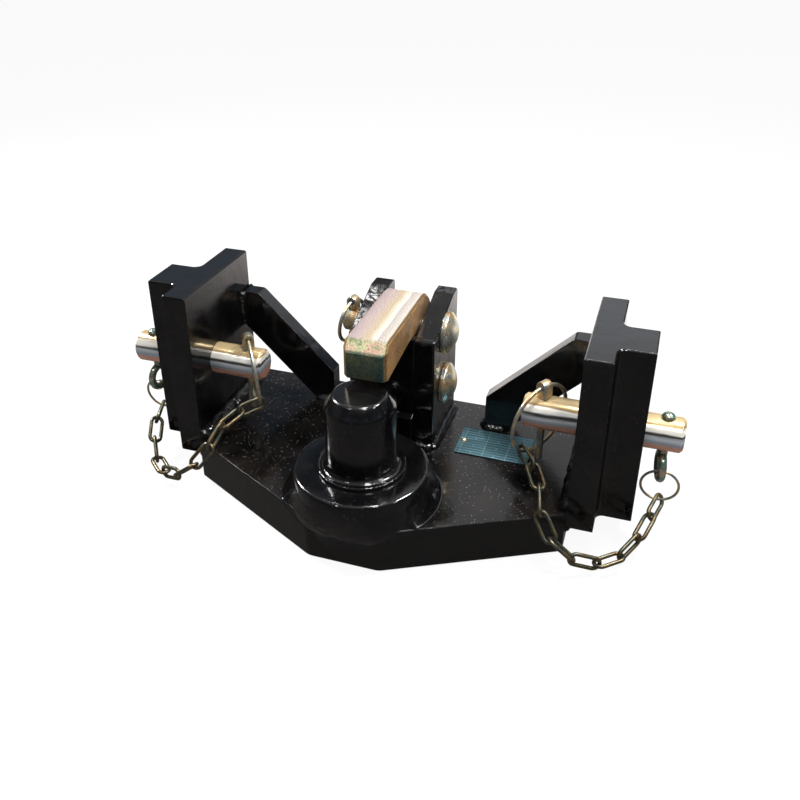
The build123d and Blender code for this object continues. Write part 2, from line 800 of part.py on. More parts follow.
def rail_welds():
    """Beads on and under the plate's right end, against the rail."""
    on_plate = bead(
        (rail_in, rail_front, plate_thick), (rail_in, rail_rear, plate_thick), rail_leg, (0, 0, 1), (-1, 0, 0)
    )
    under = bead(
        (rail_in, rail_front, rail_low), (rail_in, rail_rear, rail_low), under_leg, (0, 0, -1), (1, 0, 0)
    )
    return group([on_plate, under])


both(rail_welds, "rail_weld")


def brace_welds():
    """Beads round the right brace's foot and up its end at the rail."""
    beads = []
    for y, out in ((brace_front, -1), (rail_rear, 1)):
        beads.append(bead(
            (brace_knee_x, y, plate_thick), (brace_foot_x, y, plate_thick), brace_leg, (0, 0, 1), (0, out, 0)
        ))
        beads.append(bead(
            (rail_in, y, brace_low_at_rail), (rail_in, y, brace_top), brace_leg, (-1, 0, 0), (0, out, 0)
        ))
    beads.append(bead(
        (brace_knee_x, brace_front, plate_thick), (brace_knee_x, rail_rear, plate_thick),
        brace_leg, (0, 0, 1), (-1, 0, 0),
    ))
    return group(beads)


both(brace_welds, "brace_weld")


def cheek_welds():
    """Beads at the right cheek's foot, along its outside and its front."""
    outside = bead(
        (cheek_outer, cheek_front, plate_thick), (cheek_outer, cheek_rear, plate_thick),
        cheek_leg, (0, 0, 1), (1, 0, 0),
    )
    front = bead(
        (cheek_inner, cheek_front, plate_thick), (cheek_outer, cheek_front, plate_thick),
        cheek_leg, (0, 0, 1), (0, -1, 0),
    )
    return group([outside, front])


both(cheek_welds, "cheek_weld")

# Bead along the spacer's foot
spacer_front = cheek_front - spacer_step
save(
    bead(
        (-cheek_inner, spacer_front, plate_thick), (cheek_inner, spacer_front, plate_thick),
        spacer_leg, (0, 0, 1), (0, -1, 0),
    ),
    "spacer_weld",
)
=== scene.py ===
"""Visual model of a slide-in trailer coupling with a piton post, a hold-down and two chained side pins.

Every piece is in metres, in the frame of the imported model. Flat-sided pieces are softened copies of
their solids. Turned, welded and wire pieces are modelled here and stand for their solids.
"""
import json
import logging
import math
from dataclasses import dataclass, field
from enum import Enum
from typing import Any, Iterable, Sequence

import bmesh
import bpy
import numpy as np
from mathutils import Matrix, Vector, noise

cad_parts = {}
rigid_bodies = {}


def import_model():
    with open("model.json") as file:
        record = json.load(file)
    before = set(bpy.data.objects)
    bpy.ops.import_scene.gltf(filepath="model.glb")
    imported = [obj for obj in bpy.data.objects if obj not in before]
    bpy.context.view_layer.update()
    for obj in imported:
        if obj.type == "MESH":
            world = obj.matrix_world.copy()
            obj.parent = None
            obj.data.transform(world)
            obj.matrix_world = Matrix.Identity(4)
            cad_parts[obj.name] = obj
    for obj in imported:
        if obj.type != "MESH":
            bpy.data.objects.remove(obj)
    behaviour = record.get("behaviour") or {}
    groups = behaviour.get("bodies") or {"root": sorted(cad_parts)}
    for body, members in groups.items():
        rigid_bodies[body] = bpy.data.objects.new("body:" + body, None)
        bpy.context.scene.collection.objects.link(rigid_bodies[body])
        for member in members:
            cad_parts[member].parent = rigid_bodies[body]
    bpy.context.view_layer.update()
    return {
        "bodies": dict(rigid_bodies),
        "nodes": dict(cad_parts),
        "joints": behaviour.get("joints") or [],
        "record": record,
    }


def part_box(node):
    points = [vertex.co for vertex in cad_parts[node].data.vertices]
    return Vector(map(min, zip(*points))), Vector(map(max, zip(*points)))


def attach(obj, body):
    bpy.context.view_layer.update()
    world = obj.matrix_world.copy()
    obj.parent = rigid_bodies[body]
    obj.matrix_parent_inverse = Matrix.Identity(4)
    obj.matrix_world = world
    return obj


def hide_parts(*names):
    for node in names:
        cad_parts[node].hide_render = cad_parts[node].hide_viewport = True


MM = 0.001
SAME_PLACE = 1e-6  # corners closer than this, in metres, are one
UP, DOWN, FRONT, BACK = (0, 0, 1), (0, 0, -1), (0, -1, 0), (0, 1, 0)
WHITE = "#ffffff"
LOG = logging.getLogger("coupling")

Material = bpy.types.Material
Mesh = bmesh.types.BMesh
Object = bpy.types.Object
Pair = tuple[float, float]
Point = Sequence[float]
Socket = bpy.types.NodeSocket
Tree = bpy.types.NodeTree


class Side(Enum):
    """The two ends of the plate."""

    RIGHT = "right"
    LEFT = "left"

    @property
    def sign(self) -> int:
        """The side's direction along X."""
        return 1 if self is Side.RIGHT else -1


class Slot(Enum):
    """Material slots of the record."""

    PAINT = "black_paint"
    ZINC = "yellow_zinc"
    TAG = "tag_aluminium"
    RIVET = "rivet_steel"


# Node and colour helpers


def linear(code: str) -> tuple[float, float, float, float]:
    """Turn an sRGB hex colour into linear RGBA.

    Args:
        code: Six hex digits after a #.

    Returns:
        The colour as Blender's sockets take it.
    """
    parts = [int(code[i:i + 2], 16) / 255 for i in (1, 3, 5)]
    red, green, blue = (p / 12.92 if p <= 0.04045 else ((p + 0.055) / 1.055) ** 2.4 for p in parts)
    return red, green, blue, 1.0


def add_node(tree: Tree, kind: str, inputs: dict[Any, Any] | None = None, **settings: Any) -> Any:
    """Add a node, set its properties, and set or link its inputs.

    Args:
        tree: Node tree of a material or the world.
        kind: The node's type name.
        inputs: Socket name or number to a value or to another node's output socket.
        **settings: Properties of the node.

    Returns:
        The new node.
    """
    node = tree.nodes.new(kind)
    for key, value in settings.items():
        setattr(node, key, value)
    for key, value in (inputs or {}).items():
        if isinstance(value, Socket):
            tree.links.new(value, node.inputs[key])
        else:
            node.inputs[key].default_value = value
    return node


def ramp(tree: Tree, source: Socket, stops: Iterable[tuple[float, str]]) -> Socket:
    """Colour ramp through hex colours.

    Args:
        tree: Node tree of a material or the world.
        source: What drives the ramp.
        stops: Positions from 0 to 1 with their colours.

    Returns:
        The ramp's colour socket.
    """
    stops = list(stops)
    node = add_node(tree, "ShaderNodeValToRGB", {"Fac": source})
    bar = node.color_ramp
    while len(bar.elements) < len(stops):
        bar.elements.new(0.5)
    for element, (place, code) in zip(bar.elements, stops):
        element.position = place
        element.color = linear(code)
    return node.outputs["Color"]


def span(tree: Tree, source: Socket, low: float, high: float, to: Pair = (0.0, 1.0)) -> Socket:
    """Map a range of values to another one, and hold it at its ends.

    Args:
        tree: Node tree of a material or the world.
        source: The value.
        low: Where the range starts. It may be above its end.
        high: Where the range ends.
        to: What its start and its end become.

    Returns:
        The mapped value's socket.
    """
    return add_node(tree, "ShaderNodeMapRange", {
        "Value": source, "From Min": low, "From Max": high, "To Min": to[0], "To Max": to[1],
    }).outputs["Result"]


def compute(tree: Tree, operation: str, *terms: Any) -> Socket:
    """The result of one math node, whose inputs are values or sockets."""
    return add_node(tree, "ShaderNodeMath", dict(enumerate(terms)), operation=operation).outputs[0]


def blend(tree: Tree, share: Any, one: Any, two: Any, **settings: Any) -> Socket:
    """Mix two colours.

    Args:
        tree: Node tree of a material or the world.
        share: Share of the second colour, as a value or a socket.
        one: First colour, as linear RGBA or a socket.
        two: Second colour.
        **settings: Properties of the node.

    Returns:
        The mixed colour's socket.
    """
    inputs = {0: share, "A": one, "B": two}
    return add_node(tree, "ShaderNodeMix", inputs, data_type="RGBA", **settings).outputs[2]


def average(tree: Tree, share: float, one: Socket, two: Socket) -> Socket:
    """Mix two values; the share is the second one's."""
    return add_node(tree, "ShaderNodeMix", {"Factor": share, "A": one, "B": two}).outputs["Result"]


def noise_map(tree: Tree, place: Socket, size: float, **inputs: float) -> Socket:
    """Soft noise.

    Args:
        tree: Node tree of a material.
        place: Where the noise is read.
        size: Rough size of its spots in millimetres.
        **inputs: Values of the node's other sockets.

    Returns:
        The noise's socket, from 0 to 1.
    """
    scale = 1 / (size * MM)
    return add_node(tree, "ShaderNodeTexNoise", {"Vector": place, "Scale": scale, **inputs}).outputs["Fac"]


def bump(tree: Tree, height: Socket, strength: float, depth: float, under: Socket | None = None) -> Socket:
    """Relief of a surface.

    Args:
        tree: Node tree of a material.
        height: Height from 0 to 1.
        strength: Share of the relief that shows.
        depth: Full depth of the relief in millimetres.
        under: Normal of the relief that this one lies on.

    Returns:
        The normal's socket.
    """
    inputs = {"Height": height, "Strength": strength, "Distance": depth * MM}
    if under is not None:
        inputs["Normal"] = under
    return add_node(tree, "ShaderNodeBump", inputs).outputs["Normal"]


def new_material(name: str) -> tuple[Material, Tree, Any, Socket]:
    """Start a material with its shader and Object coordinates.

    Args:
        name: Name of the finish.

    Returns:
        The material, its node tree, the shader, and the coordinate socket.
    """
    material = bpy.data.materials.new(name)
    material.use_nodes = True
    tree = material.node_tree
    shader = tree.nodes["Principled BSDF"]
    place = add_node(tree, "ShaderNodeTexCoord").outputs["Object"]
    return material, tree, shader, place


def dress(tree: Tree, shader: Any, colour: Socket, rough: Socket, relief: Socket) -> None:
    """Link a shader's colour, roughness and normal."""
    for name, socket in (("Base Color", colour), ("Roughness", rough), ("Normal", relief)):
        tree.links.new(socket, shader.inputs[name])


# Finishes. In each of them a pair that ends in _at holds the values of a noise between which it acts.


@dataclass(frozen=True)
class BlackEnamel:
    """Black alkyd enamel, sprayed thick over hot-rolled plate.

    It is glossy, with slow waves where the paint ran, orange peel, and fine grit. The grit's flecks are painted
    pale as glints. Above the grit's height the waves mottle the paint with dust and a painted sheen, so on the
    plate the top is painted lighter than its sides.
    """

    name: str = "black_alkyd_enamel"
    deep: str = "#050506"
    # tone of the mottle: partly dust, partly a painted sheen; on the plate only its top has it
    dust_and_sheen: str = "#0c0b0b"
    # tone of the grit's flecks: the grit itself, painted pale as glints
    grit_and_glint: str = "#2a2725"
    gloss: float = 0.07
    dull: float = 0.2
    dust_and_sheen_at: Pair = (0.38, 0.66)
    dull_at: Pair = (0.35, 0.65)
    wave: float = 0.22  # share of the waves' relief that shows
    wave_mm: float = 22.0  # length of the waves where the paint ran
    wave_deep: float = 1.6  # their depth in millimetres
    peel: float = 0.22  # share of the orange peel's relief that shows
    peel_mm: float = 2.4  # orange peel, drawn about twice as coarse as it is so that it shows
    peel_deep: float = 0.25
    grit: float = 0.12  # share of the grit's relief that shows
    grit_mm: float = 0.35  # size of one grain
    grit_deep: float = 0.22
    grit_room: float = 6.0  # width of a grain's room, in grains
    grit_edge: Pair = (0.1, 0.22)  # where a grain ends, in rooms from its middle
    grit_share: float = 0.3  # share of the rooms that hold a grain
    grit_from: float = -1.0  # height in millimetres above which the grit and the mottle of dust and painted sheen lie
    grit_fade: float = 0.4  # millimetres below it over which the grit starts

    def make(self) -> Material:
        """Build the material.

        Returns:
            The material.
        """
        material, tree, shader, place = new_material(self.name)
        waves = noise_map(tree, place, self.wave_mm, Detail=2.0)
        peel = noise_map(tree, place, self.peel_mm, Detail=2.0)
        rooms = add_node(tree, "ShaderNodeTexVoronoi", {
            "Vector": place, "Scale": 1 / (self.grit_mm * self.grit_room * MM), "Randomness": 1.0})
        grains = span(tree, rooms.outputs["Distance"], *self.grit_edge, (1.0, 0.0))
        chance = add_node(tree, "ShaderNodeSeparateColor", {0: rooms.outputs["Color"]}).outputs[0]
        few = compute(tree, "MULTIPLY", grains, compute(tree, "LESS_THAN", chance, self.grit_share))
        height = add_node(tree, "ShaderNodeSeparateXYZ", {0: place}).outputs["Z"]
        level = span(tree, height, (self.grit_from - self.grit_fade) * MM, self.grit_from * MM)
        flecks = compute(tree, "MULTIPLY", few, level)
        # dust and painted sheen, only above the grit's height, so the plate's top is painted lighter than its
        # sides
        dust_and_sheen_tone = ramp(tree, waves, zip(self.dust_and_sheen_at, (self.deep, self.dust_and_sheen)))
        tone = blend(tree, level, linear(self.deep), dust_and_sheen_tone)
        # painted glints: the grit's flecks take the pale tone
        tone = blend(tree, flecks, tone, linear(self.grit_and_glint))
        rough = span(tree, waves, *self.dull_at, (self.gloss, self.dull))
        relief = bump(tree, waves, self.wave, self.wave_deep)
        relief = bump(tree, peel, self.peel, self.peel_deep, relief)
        relief = bump(tree, flecks, self.grit, self.grit_deep, relief)
        dress(tree, shader, tone, rough, relief)
        return material


@dataclass(frozen=True)
class YellowZinc:
    """Electroplated zinc with a yellow chromate film, which shifts from straw to rose and blue. On a pin, the
    colour is instead painted in bands by height, which stand for the pin's reflections and a highlight.
    """

    name: str = "yellow_chromate_zinc"
    straw: str = "#cdb98f"
    rose: str = "#b98d6c"
    blue: str = "#9aa2a2"
    dark: str = "#7b6648"
    rough: float = 0.24
    uneven: Pair = (0.8, 1.3)  # shares of it from which the roughness changes with the grain
    cloud_mm: float = 11.0  # size of the film's clouds
    grain_mm: float = 0.9  # grain of the steel under the zinc
    grain_at: Pair = (0.3, 0.7)
    grain_deep: float = 0.25  # its depth in millimetres
    grain: float = 0.15  # share of its relief that shows
    metal: float = 0.85  # the film scatters part of the light
    painted_reflection_bands: Pair | None = None  # height of a pin's axis and its radius, in millimetres, for bands that paint its reflections
    silver: str = "#b4b8bc"  # tones that only the painted reflection bands have: silver, a glare highlight and a bronze line
    glare: str = "#f4efe4"
    bronze: str = "#94794e"
    streak: float = 0.17  # share of the streaks in the bands; they paint polished reflections
    streak_mm: float = 3.2
    stretch: tuple[float, float, float] = (0.07, 1.0, 1.0)  # the painted reflection streaks run along the pin

    def film_or_painted_bands(self, tree: Tree, place: Socket) -> Socket:
        """Colour of the zinc: the film's clouds, or on a pin, bands by height that paint its reflections and a
        highlight.

        Args:
            tree: The material's node tree.
            place: The coordinate socket.

        Returns:
            The colour's socket.
        """
        if self.painted_reflection_bands is None:
            clouds = noise_map(tree, place, self.cloud_mm, Detail=3.0, Distortion=0.6)
            return ramp(tree, clouds, (
                (0.12, self.dark), (0.3, self.rose), (0.44, self.straw), (0.58, self.blue), (0.78, self.straw)))
        axis, radius = self.painted_reflection_bands
        height = add_node(tree, "ShaderNodeSeparateXYZ", {0: place}).outputs["Z"]
        lift = span(tree, height, (axis - radius) * MM, (axis + radius) * MM)
        drawn = add_node(tree, "ShaderNodeVectorMath", {0: place, 1: self.stretch}, operation="MULTIPLY")
        streaks = noise_map(tree, drawn.outputs[0], self.streak_mm, Detail=3.0, Roughness=0.6)
        # painted reflections by height: rose low down, blue-grey and silver, a dark line, a glare highlight, a
        # bronze line, straw on top
        return ramp(tree, average(tree, self.streak, lift, streaks), (
            (0.1, self.dark), (0.2, self.rose), (0.36, self.rose), (0.46, self.blue), (0.58, self.silver),
            (0.62, self.dark), (0.66, self.dark), (0.7, self.glare), (0.79, self.glare), (0.82, self.bronze),
            (0.88, self.straw)))

    def make(self) -> Material:
        """Build the material.

        Returns:
            The material.
        """
        material, tree, shader, place = new_material(self.name)
        shader.inputs["Metallic"].default_value = self.metal
        grain = noise_map(tree, place, self.grain_mm, Detail=3.0)
        least, most = self.uneven
        rough = span(tree, grain, *self.grain_at, (self.rough * least, self.rough * most))
        dress(tree, shader, self.film_or_painted_bands(tree, place), rough, bump(tree, grain, self.grain, self.grain_deep))
        return material


@dataclass(frozen=True)
class ForgedZinc:
    """Chromated zinc on the hold-down: rosy silver on top, gold on its sides, teal on its nose. The near-white
    streak along its top is a painted highlight, and the nose's teal is painted dark as shade.

    The arm lies along Y, and its colours follow X and Y. Places and sizes are in millimetres.
    """

    name: str = "zinc_on_forging_with_painted_light"
    top: tuple[str, ...] = ("#b0a0a4", "#c4b2ad", "#c9b89b", "#f2ebe0", "#c2b9b1", "#dcd6ce")
    top_at: tuple[float, ...] = (0.1, 0.3, 0.5, 0.66, 0.7, 0.9)  # places of its streaks across the arm; the near-white one is a painted highlight
    streak: float = 0.12  # share of the clouds in the streaks
    sides: tuple[str, str] = ("#b58c58", "#8a6a46")
    # teal film, painted dark as shade on the front face
    nose: tuple[str, str] = ("#34504e", "#6b6d50")
    patch_at: Pair = (0.36, 0.62)
    bevel: tuple[str, ...] = ("#7f8c66", "#b9ba92", "#cba294", "#99a078")
    bevel_at: tuple[float, ...] = (0.36, 0.46, 0.56, 0.66)
    edge: str = "#7d6139"  # thin darker line along the edges between the top and the sides
    half: float = 14.0  # half the arm's width
    bevel_y: Pair = (15.4, 14.2)  # from here to there each part's colour takes over
    nose_y: Pair = (9.6, 8.6)
    edge_x: Pair = (12.1, 12.8)
    side_x: Pair = (13.1, 13.7)
    cloud_mm: float = 18.0
    mottle: float = 1.7  # spots of the bevel's mottle to a cloud
    specks: tuple[str, ...] = ("#7f776e", "#dcd8d2", WHITE)
    speck_at: tuple[float, ...] = (0.36, 0.48, 0.6)
    speck_mm: float = 0.75
    speck: float = 0.8  # share of the specks' shade
    grain_mm: float = 1.1
    grain_at: Pair = (0.3, 0.7)
    grain_deep: float = 0.25
    grain: float = 0.4  # share of the grain's relief that shows
    rough: float = 0.46
    uneven: Pair = (0.75, 1.35)  # shares of it from which the roughness changes with the grain
    metal: float = 0.6  # the chromate film scatters part of the light

    def make(self) -> Material:
        """Build the material.

        Returns:
            The material.
        """
        material, tree, shader, place = new_material(self.name)
        shader.inputs["Metallic"].default_value = self.metal
        split = add_node(tree, "ShaderNodeSeparateXYZ", {0: place})
        x, y = split.outputs["X"], split.outputs["Y"]
        width = compute(tree, "ABSOLUTE", x)
        clouds = noise_map(tree, place, self.cloud_mm, Detail=3.0)
        mottle = noise_map(tree, place, self.cloud_mm / self.mottle, Detail=6.0, Roughness=0.62)
        across = span(tree, x, -self.half * MM, self.half * MM)
        # streaks across the top: film colour, and a near-white painted highlight
        tone = ramp(tree, average(tree, self.streak, across, clouds), zip(self.top_at, self.top))
        # the nose's colours are painted dark as shade
        sides, nose = (ramp(tree, clouds, zip(self.patch_at, pair)) for pair in (self.sides, self.nose))
        bevel = ramp(tree, mottle, zip(self.bevel_at, self.bevel))
        for source, (start, end), colour in (
            (y, self.bevel_y, bevel), (y, self.nose_y, nose),
            (width, self.edge_x, linear(self.edge)), (width, self.side_x, sides),
        ):
            tone = blend(tree, span(tree, source, start * MM, end * MM), tone, colour)
        spots = noise_map(tree, place, self.speck_mm, Detail=2.0, Roughness=0.8)
        shade = ramp(tree, spots, zip(self.speck_at, self.specks))
        tone = blend(tree, self.speck, tone, shade, blend_type="MULTIPLY")
        grain = noise_map(tree, place, self.grain_mm, Detail=4.0)
        least, most = self.uneven
        rough = span(tree, grain, *self.grain_at, (self.rough * least, self.rough * most))
        dress(tree, shader, tone, rough, bump(tree, grain, self.grain, self.grain_deep))
        return material


@dataclass(frozen=True)
class EtchedAluminium:
    """Anodised aluminium plate, etched with empty ruled fields."""

    name: str = "etched_aluminium"
    ground: str = "#3c5a63"
    field_tone: str = "#436771"
    line: str = "#84a3a9"
    row_mm: float = 3.6  # unit of the fields
    field_size: Pair = (4.4, 0.8)  # width and height of one, in units
    line_wide: float = 0.05
    narrow: float = 0.5  # every third row has fields this much as wide
    metal: float = 0.75
    grain_mm: float = 0.7
    rough: Pair = (0.28, 0.5)
    etch: float = 0.3  # share of the etching's relief that shows
    etch_deep: float = 0.1  # its depth in millimetres

    def make(self) -> Material:
        """Build the material.

        Returns:
            The material.
        """
        material, tree, shader, place = new_material(self.name)
        shader.inputs["Metallic"].default_value = self.metal
        wide, high = self.field_size
        fields = add_node(tree, "ShaderNodeTexBrick", {
            "Vector": place, "Color1": linear(self.ground), "Color2": linear(self.field_tone),
            "Mortar": linear(self.line), "Scale": 1 / (self.row_mm * MM), "Mortar Size": self.line_wide,
            "Brick Width": wide, "Row Height": high}, offset=0.0, squash=self.narrow, squash_frequency=3)
        rough = span(tree, noise_map(tree, place, self.grain_mm, Detail=2.0), 0.0, 1.0, self.rough)
        relief = bump(tree, fields.outputs["Fac"], self.etch, self.etch_deep)
        dress(tree, shader, fields.outputs["Color"], rough, relief)
        return material


# Mesh helpers


def from_points(points: Iterable[Sequence[float]], closed: bool) -> Mesh:
    """A chain of edges through a few points.

    Args:
        points: Corners in order, in metres.
        closed: Whether the last point joins the first.

    Returns:
        A mesh with vertices and edges only.
    """
    bm = bmesh.new()
    verts = [bm.verts.new(p) for p in points]
    pairs = list(zip(verts, verts[1:])) + ([(verts[-1], verts[0])] if closed else [])
    for a, b in pairs:
        bm.edges.new((a, b))
    return bm


def tidy(bm: Mesh) -> Mesh:
    """Merge doubles and turn the faces outwards.

    Args:
        bm: Mesh to tidy.

    Returns:
        The same mesh.
    """
    bmesh.ops.remove_doubles(bm, verts=bm.verts[:], dist=SAME_PLACE)
    bmesh.ops.recalc_face_normals(bm, faces=bm.faces[:])
    return bm


def soften(bm: Mesh, width: float, segments: int = 3, angle: float = 32.0) -> Mesh:
    """Round the edges between faces that meet at more than an angle.

    Args:
        bm: Closed mesh.
        width: Width of the rounding in millimetres.
        segments: Faces across the rounding.
        angle: Smallest angle that is rounded, in degrees.

    Returns:
        The same mesh.
    """
    sharp = [e for e in bm.edges if len(e.link_faces) == 2 and e.calc_face_angle() > math.radians(angle)]
    bmesh.ops.bevel(
        bm, geom=sharp, offset=width * MM, affect="EDGES", segments=segments, profile=0.5, material=-1,
        clamp_overlap=True)
    return bm


def spun(bm: Mesh, steps: int) -> Mesh:
    """Turn a section once round Z.

    Args:
        bm: Mesh of edges.
        steps: Faces round the axis.

    Returns:
        The same mesh, closed.
    """
    bmesh.ops.spin(
        bm, geom=bm.verts[:] + bm.edges[:], cent=(0, 0, 0), axis=UP, angle=math.tau, steps=steps,
        use_merge=True)
    return tidy(bm)


def turned(profile: Sequence[tuple[float, float]], steps: int = 96, closed: bool = False) -> Mesh:
    """A turned piece about Z.

    Args:
        profile: Radius and height pairs in millimetres. An open one starts and ends on the axis.
        steps: Faces round the axis.
        closed: Whether the profile closes on itself, as a ring's does.

    Returns:
        The closed mesh.
    """
    return spun(from_points([(r * MM, 0.0, z * MM) for r, z in profile], closed), steps)


def wire_ring(radius: float, wire: float, steps: int = 72) -> Mesh:
    """A ring of round wire about Z.

    Args:
        radius: Radius of the wire's middle in millimetres.
        wire: Radius of the wire.
        steps: Faces round the ring.

    Returns:
        The closed mesh.
    """
    bm = bmesh.new()
    bmesh.ops.create_circle(bm, segments=14, radius=wire * MM)
    turn = Matrix.Translation((radius * MM, 0, 0)) @ Matrix.Rotation(math.pi / 2, 4, "X")
    return spun(put(bm, turn), steps)


def add_to(target: Mesh, source: Mesh) -> None:
    """Move the faces of one mesh into another.

    Args:
        target: Mesh that grows.
        source: Mesh that is freed.
    """
    carrier = bpy.data.meshes.new("carrier")
    source.to_mesh(carrier)
    source.free()
    target.from_mesh(carrier)
    bpy.data.meshes.remove(carrier)


def solid_copy(node: Object, flat: float = 1.0) -> Mesh:
    """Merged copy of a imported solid, with its flat faces joined.

    Args:
        node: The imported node's object.
        flat: Angle in degrees up to which neighbouring faces count as one.

    Returns:
        The copy.
    """
    bm = bmesh.new()
    bm.from_mesh(node.data)
    bmesh.ops.remove_doubles(bm, verts=bm.verts[:], dist=SAME_PLACE)
    bmesh.ops.dissolve_limit(bm, angle_limit=math.radians(flat), verts=bm.verts[:], edges=bm.edges[:])
    return bm


def flat_normals(mesh: bpy.types.Mesh) -> list[Vector]:
    """Vertex normals that follow the largest face, so that a flat face next to a rounding looks flat.

    Args:
        mesh: Mesh whose edges are rounded.

    Returns:
        A normal for each vertex.
    """
    total = np.zeros((len(mesh.vertices), 3))
    for face in mesh.polygons:
        total[list(face.vertices)] += np.array(face.normal) * face.area
    return [Vector(row).normalized() for row in total]


def islands(node: Object) -> list[np.ndarray]:
    """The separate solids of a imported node.

    Args:
        node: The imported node's object.

    Returns:
        The corners of each solid.
    """
    bm = bmesh.new()
    bm.from_mesh(node.data)
    bmesh.ops.remove_doubles(bm, verts=bm.verts[:], dist=SAME_PLACE)
    left = set(bm.verts)
    groups = []
    while left:
        stack = [left.pop()]
        group = []
        while stack:
            vert = stack.pop()
            group.append(tuple(vert.co))
            for edge in vert.link_edges:
                other = edge.other_vert(vert)
                if other in left:
                    left.remove(other)
                    stack.append(other)
        groups.append(np.array(group))
    bm.free()
    return groups


def lie_of(points: np.ndarray) -> Matrix:
    """Where a symmetric solid lies: X along its length, Y across, Z through its thickness.

    Args:
        points: The solid's corners.

    Returns:
        The matrix that puts a piece modelled about the origin there.
    """
    mean = points.mean(axis=0)
    _, axes = np.linalg.eigh(np.cov((points - mean).T))
    long, wide = Vector(axes[:, 2]), Vector(axes[:, 1])
    thick = long.cross(wide)
    basis = np.array([long, wide, thick])
    spread = (points - mean) @ basis.T
    centre = mean + ((spread.max(axis=0) + spread.min(axis=0)) / 2) @ basis
    turn = Matrix((long, wide, thick)).transposed().to_4x4()
    return Matrix.Translation(centre) @ turn


def put(bm: Mesh, matrix: Matrix) -> Mesh:
    """Move a mesh by a matrix and return it."""
    bmesh.ops.transform(bm, matrix=matrix, verts=bm.verts[:])
    return bm


def along(axis: Sequence[float], origin: Sequence[float]) -> Matrix:
    """Matrix that takes Z to an axis and the origin to a point in millimetres."""
    turn = Vector((0, 0, 1)).rotation_difference(Vector(axis)).to_matrix().to_4x4()
    return Matrix.Translation(Vector(origin) * MM) @ turn


def chain_link(length: float, half_width: float, wire: float) -> Mesh:
    """A chain link about the origin, long in X and wide in Y.

    Args:
        length: Length in millimetres, on the wire's middle.
        half_width: Half its width, on the wire's middle.
        wire: Radius of the wire.

    Returns:
        The closed mesh.
    """
    straight, turn_r, steps = (length / 2 - half_width) * MM, half_width * MM, 4
    bm = bmesh.new()
    bmesh.ops.create_circle(bm, segments=12, radius=wire * MM)
    stand = Matrix.Translation((-straight, turn_r, 0)) @ Matrix.Rotation(math.pi / 2, 4, "Y")
    put(bm, stand)
    last = bm.verts[:] + bm.edges[:]
    for sign in (1, -1):
        step = Vector((sign * 2 * straight / steps, 0, 0))
        last = bmesh.ops.spin(
            bm, geom=last, cent=(0, 0, 0), axis=UP, angle=0.0, steps=steps, dvec=step)["geom_last"]
        last = bmesh.ops.spin(
            bm, geom=last, cent=(sign * straight, 0, 0), axis=DOWN, angle=math.pi, steps=10)["geom_last"]
    return tidy(bm)


# Weld beads


@dataclass(frozen=True)
class Ripples:
    """Relief of a weld bead: scales one behind the other, with a slow drift."""

    pitch: float  # length of a scale in millimetres
    seed: float  # sets this bead apart
    lean: float = 0.8  # how far a scale bends back at the crown, in pitches
    high: float = 0.6
    base: float = -0.35
    drift: float = 0.8
    drift_mm: float = 7.0  # length of the drift along the bead
    drift_across: float = 0.7

    def at(self, place: float, across: float) -> float:
        """Relief at one place of the bead.

        Args:
            place: Distance along the bead in millimetres.
            across: Place across the bead, 0 at its toes and 1 at its crown.

        Returns:
            The relief, from about -1 to 1.
        """
        lag = place - across * self.pitch * self.lean
        scale = self.high * abs(math.sin(math.pi * lag / self.pitch)) + self.base
        drift = self.drift * noise.noise(Vector((place / self.drift_mm, across * self.drift_across, self.seed)))
        return scale + drift


@dataclass(frozen=True)
class Fillet:
    """A straight fillet weld with ripples. Lengths are in millimetres."""

    start: Point
    end: Point
    leg: float
    up: Point  # direction of one wall
    out: Point  # direction of the other wall
    seed: float
    pitch: float = 2.6
    step: float = 0.55  # distance between sections
    root: float = -0.04  # where the section's inner corner lies, in legs
    hollow: float = 1.15  # power that makes the face flatter than round
    face: float = 0.97  # size of the section, in legs
    core: float = 0.2  # in legs; what is nearer to the corner stays still
    level: float = 0.85  # mean size, in sections, and the share of the ripples
    relief: float = 0.2
    fade: float = 3.0  # length over which an end rises
    lip: float = 0.4  # how far outside its end it starts to rise
    end_size: float = 0.45  # size of its very end

    def mesh(self) -> Mesh:
        """Build the weld.

        Returns:
            The closed mesh.
        """
        first, run = Vector(self.start) * MM, (Vector(self.end) - Vector(self.start)) * MM
        upward, outward, course = Vector(self.up), Vector(self.out), run.normalized()
        arc = [(math.cos(t) ** self.hollow, math.sin(t) ** self.hollow) for t in np.linspace(0, math.pi / 2, 9)]
        shape = [(self.root, self.root)] + [(a * self.face, b * self.face) for a, b in arc]
        bm = from_points([first + (outward * a + upward * b) * self.leg * MM for a, b in shape], True)
        steps = max(6, round(run.length / (self.step * MM)))
        bmesh.ops.spin(
            bm, geom=bm.verts[:] + bm.edges[:], cent=(0, 0, 0), axis=UP, angle=0.0, steps=steps,
            dvec=run / steps)
        bmesh.ops.holes_fill(bm, edges=bm.edges[:], sides=0)
        length, ripples = run.length / MM, Ripples(self.pitch, self.seed)
        for vert in bm.verts:
            rel = vert.co - first
            place = rel.dot(course) / MM
            reach = rel - course * place * MM
            across = min(reach.dot(upward), reach.dot(outward)) / (self.leg * MM)
            if reach.length > self.core * self.leg * MM:
                ends = (place + self.lip) / self.fade, (length - place + self.lip) / self.fade
                size = self.end_size + (1 - self.end_size) * math.sqrt(max(0.0, min(1.0, *ends)))
                grow = self.level + self.relief * ripples.at(place, across * 2)
                vert.co = first + course * place * MM + reach * grow * size
        return tidy(bm)


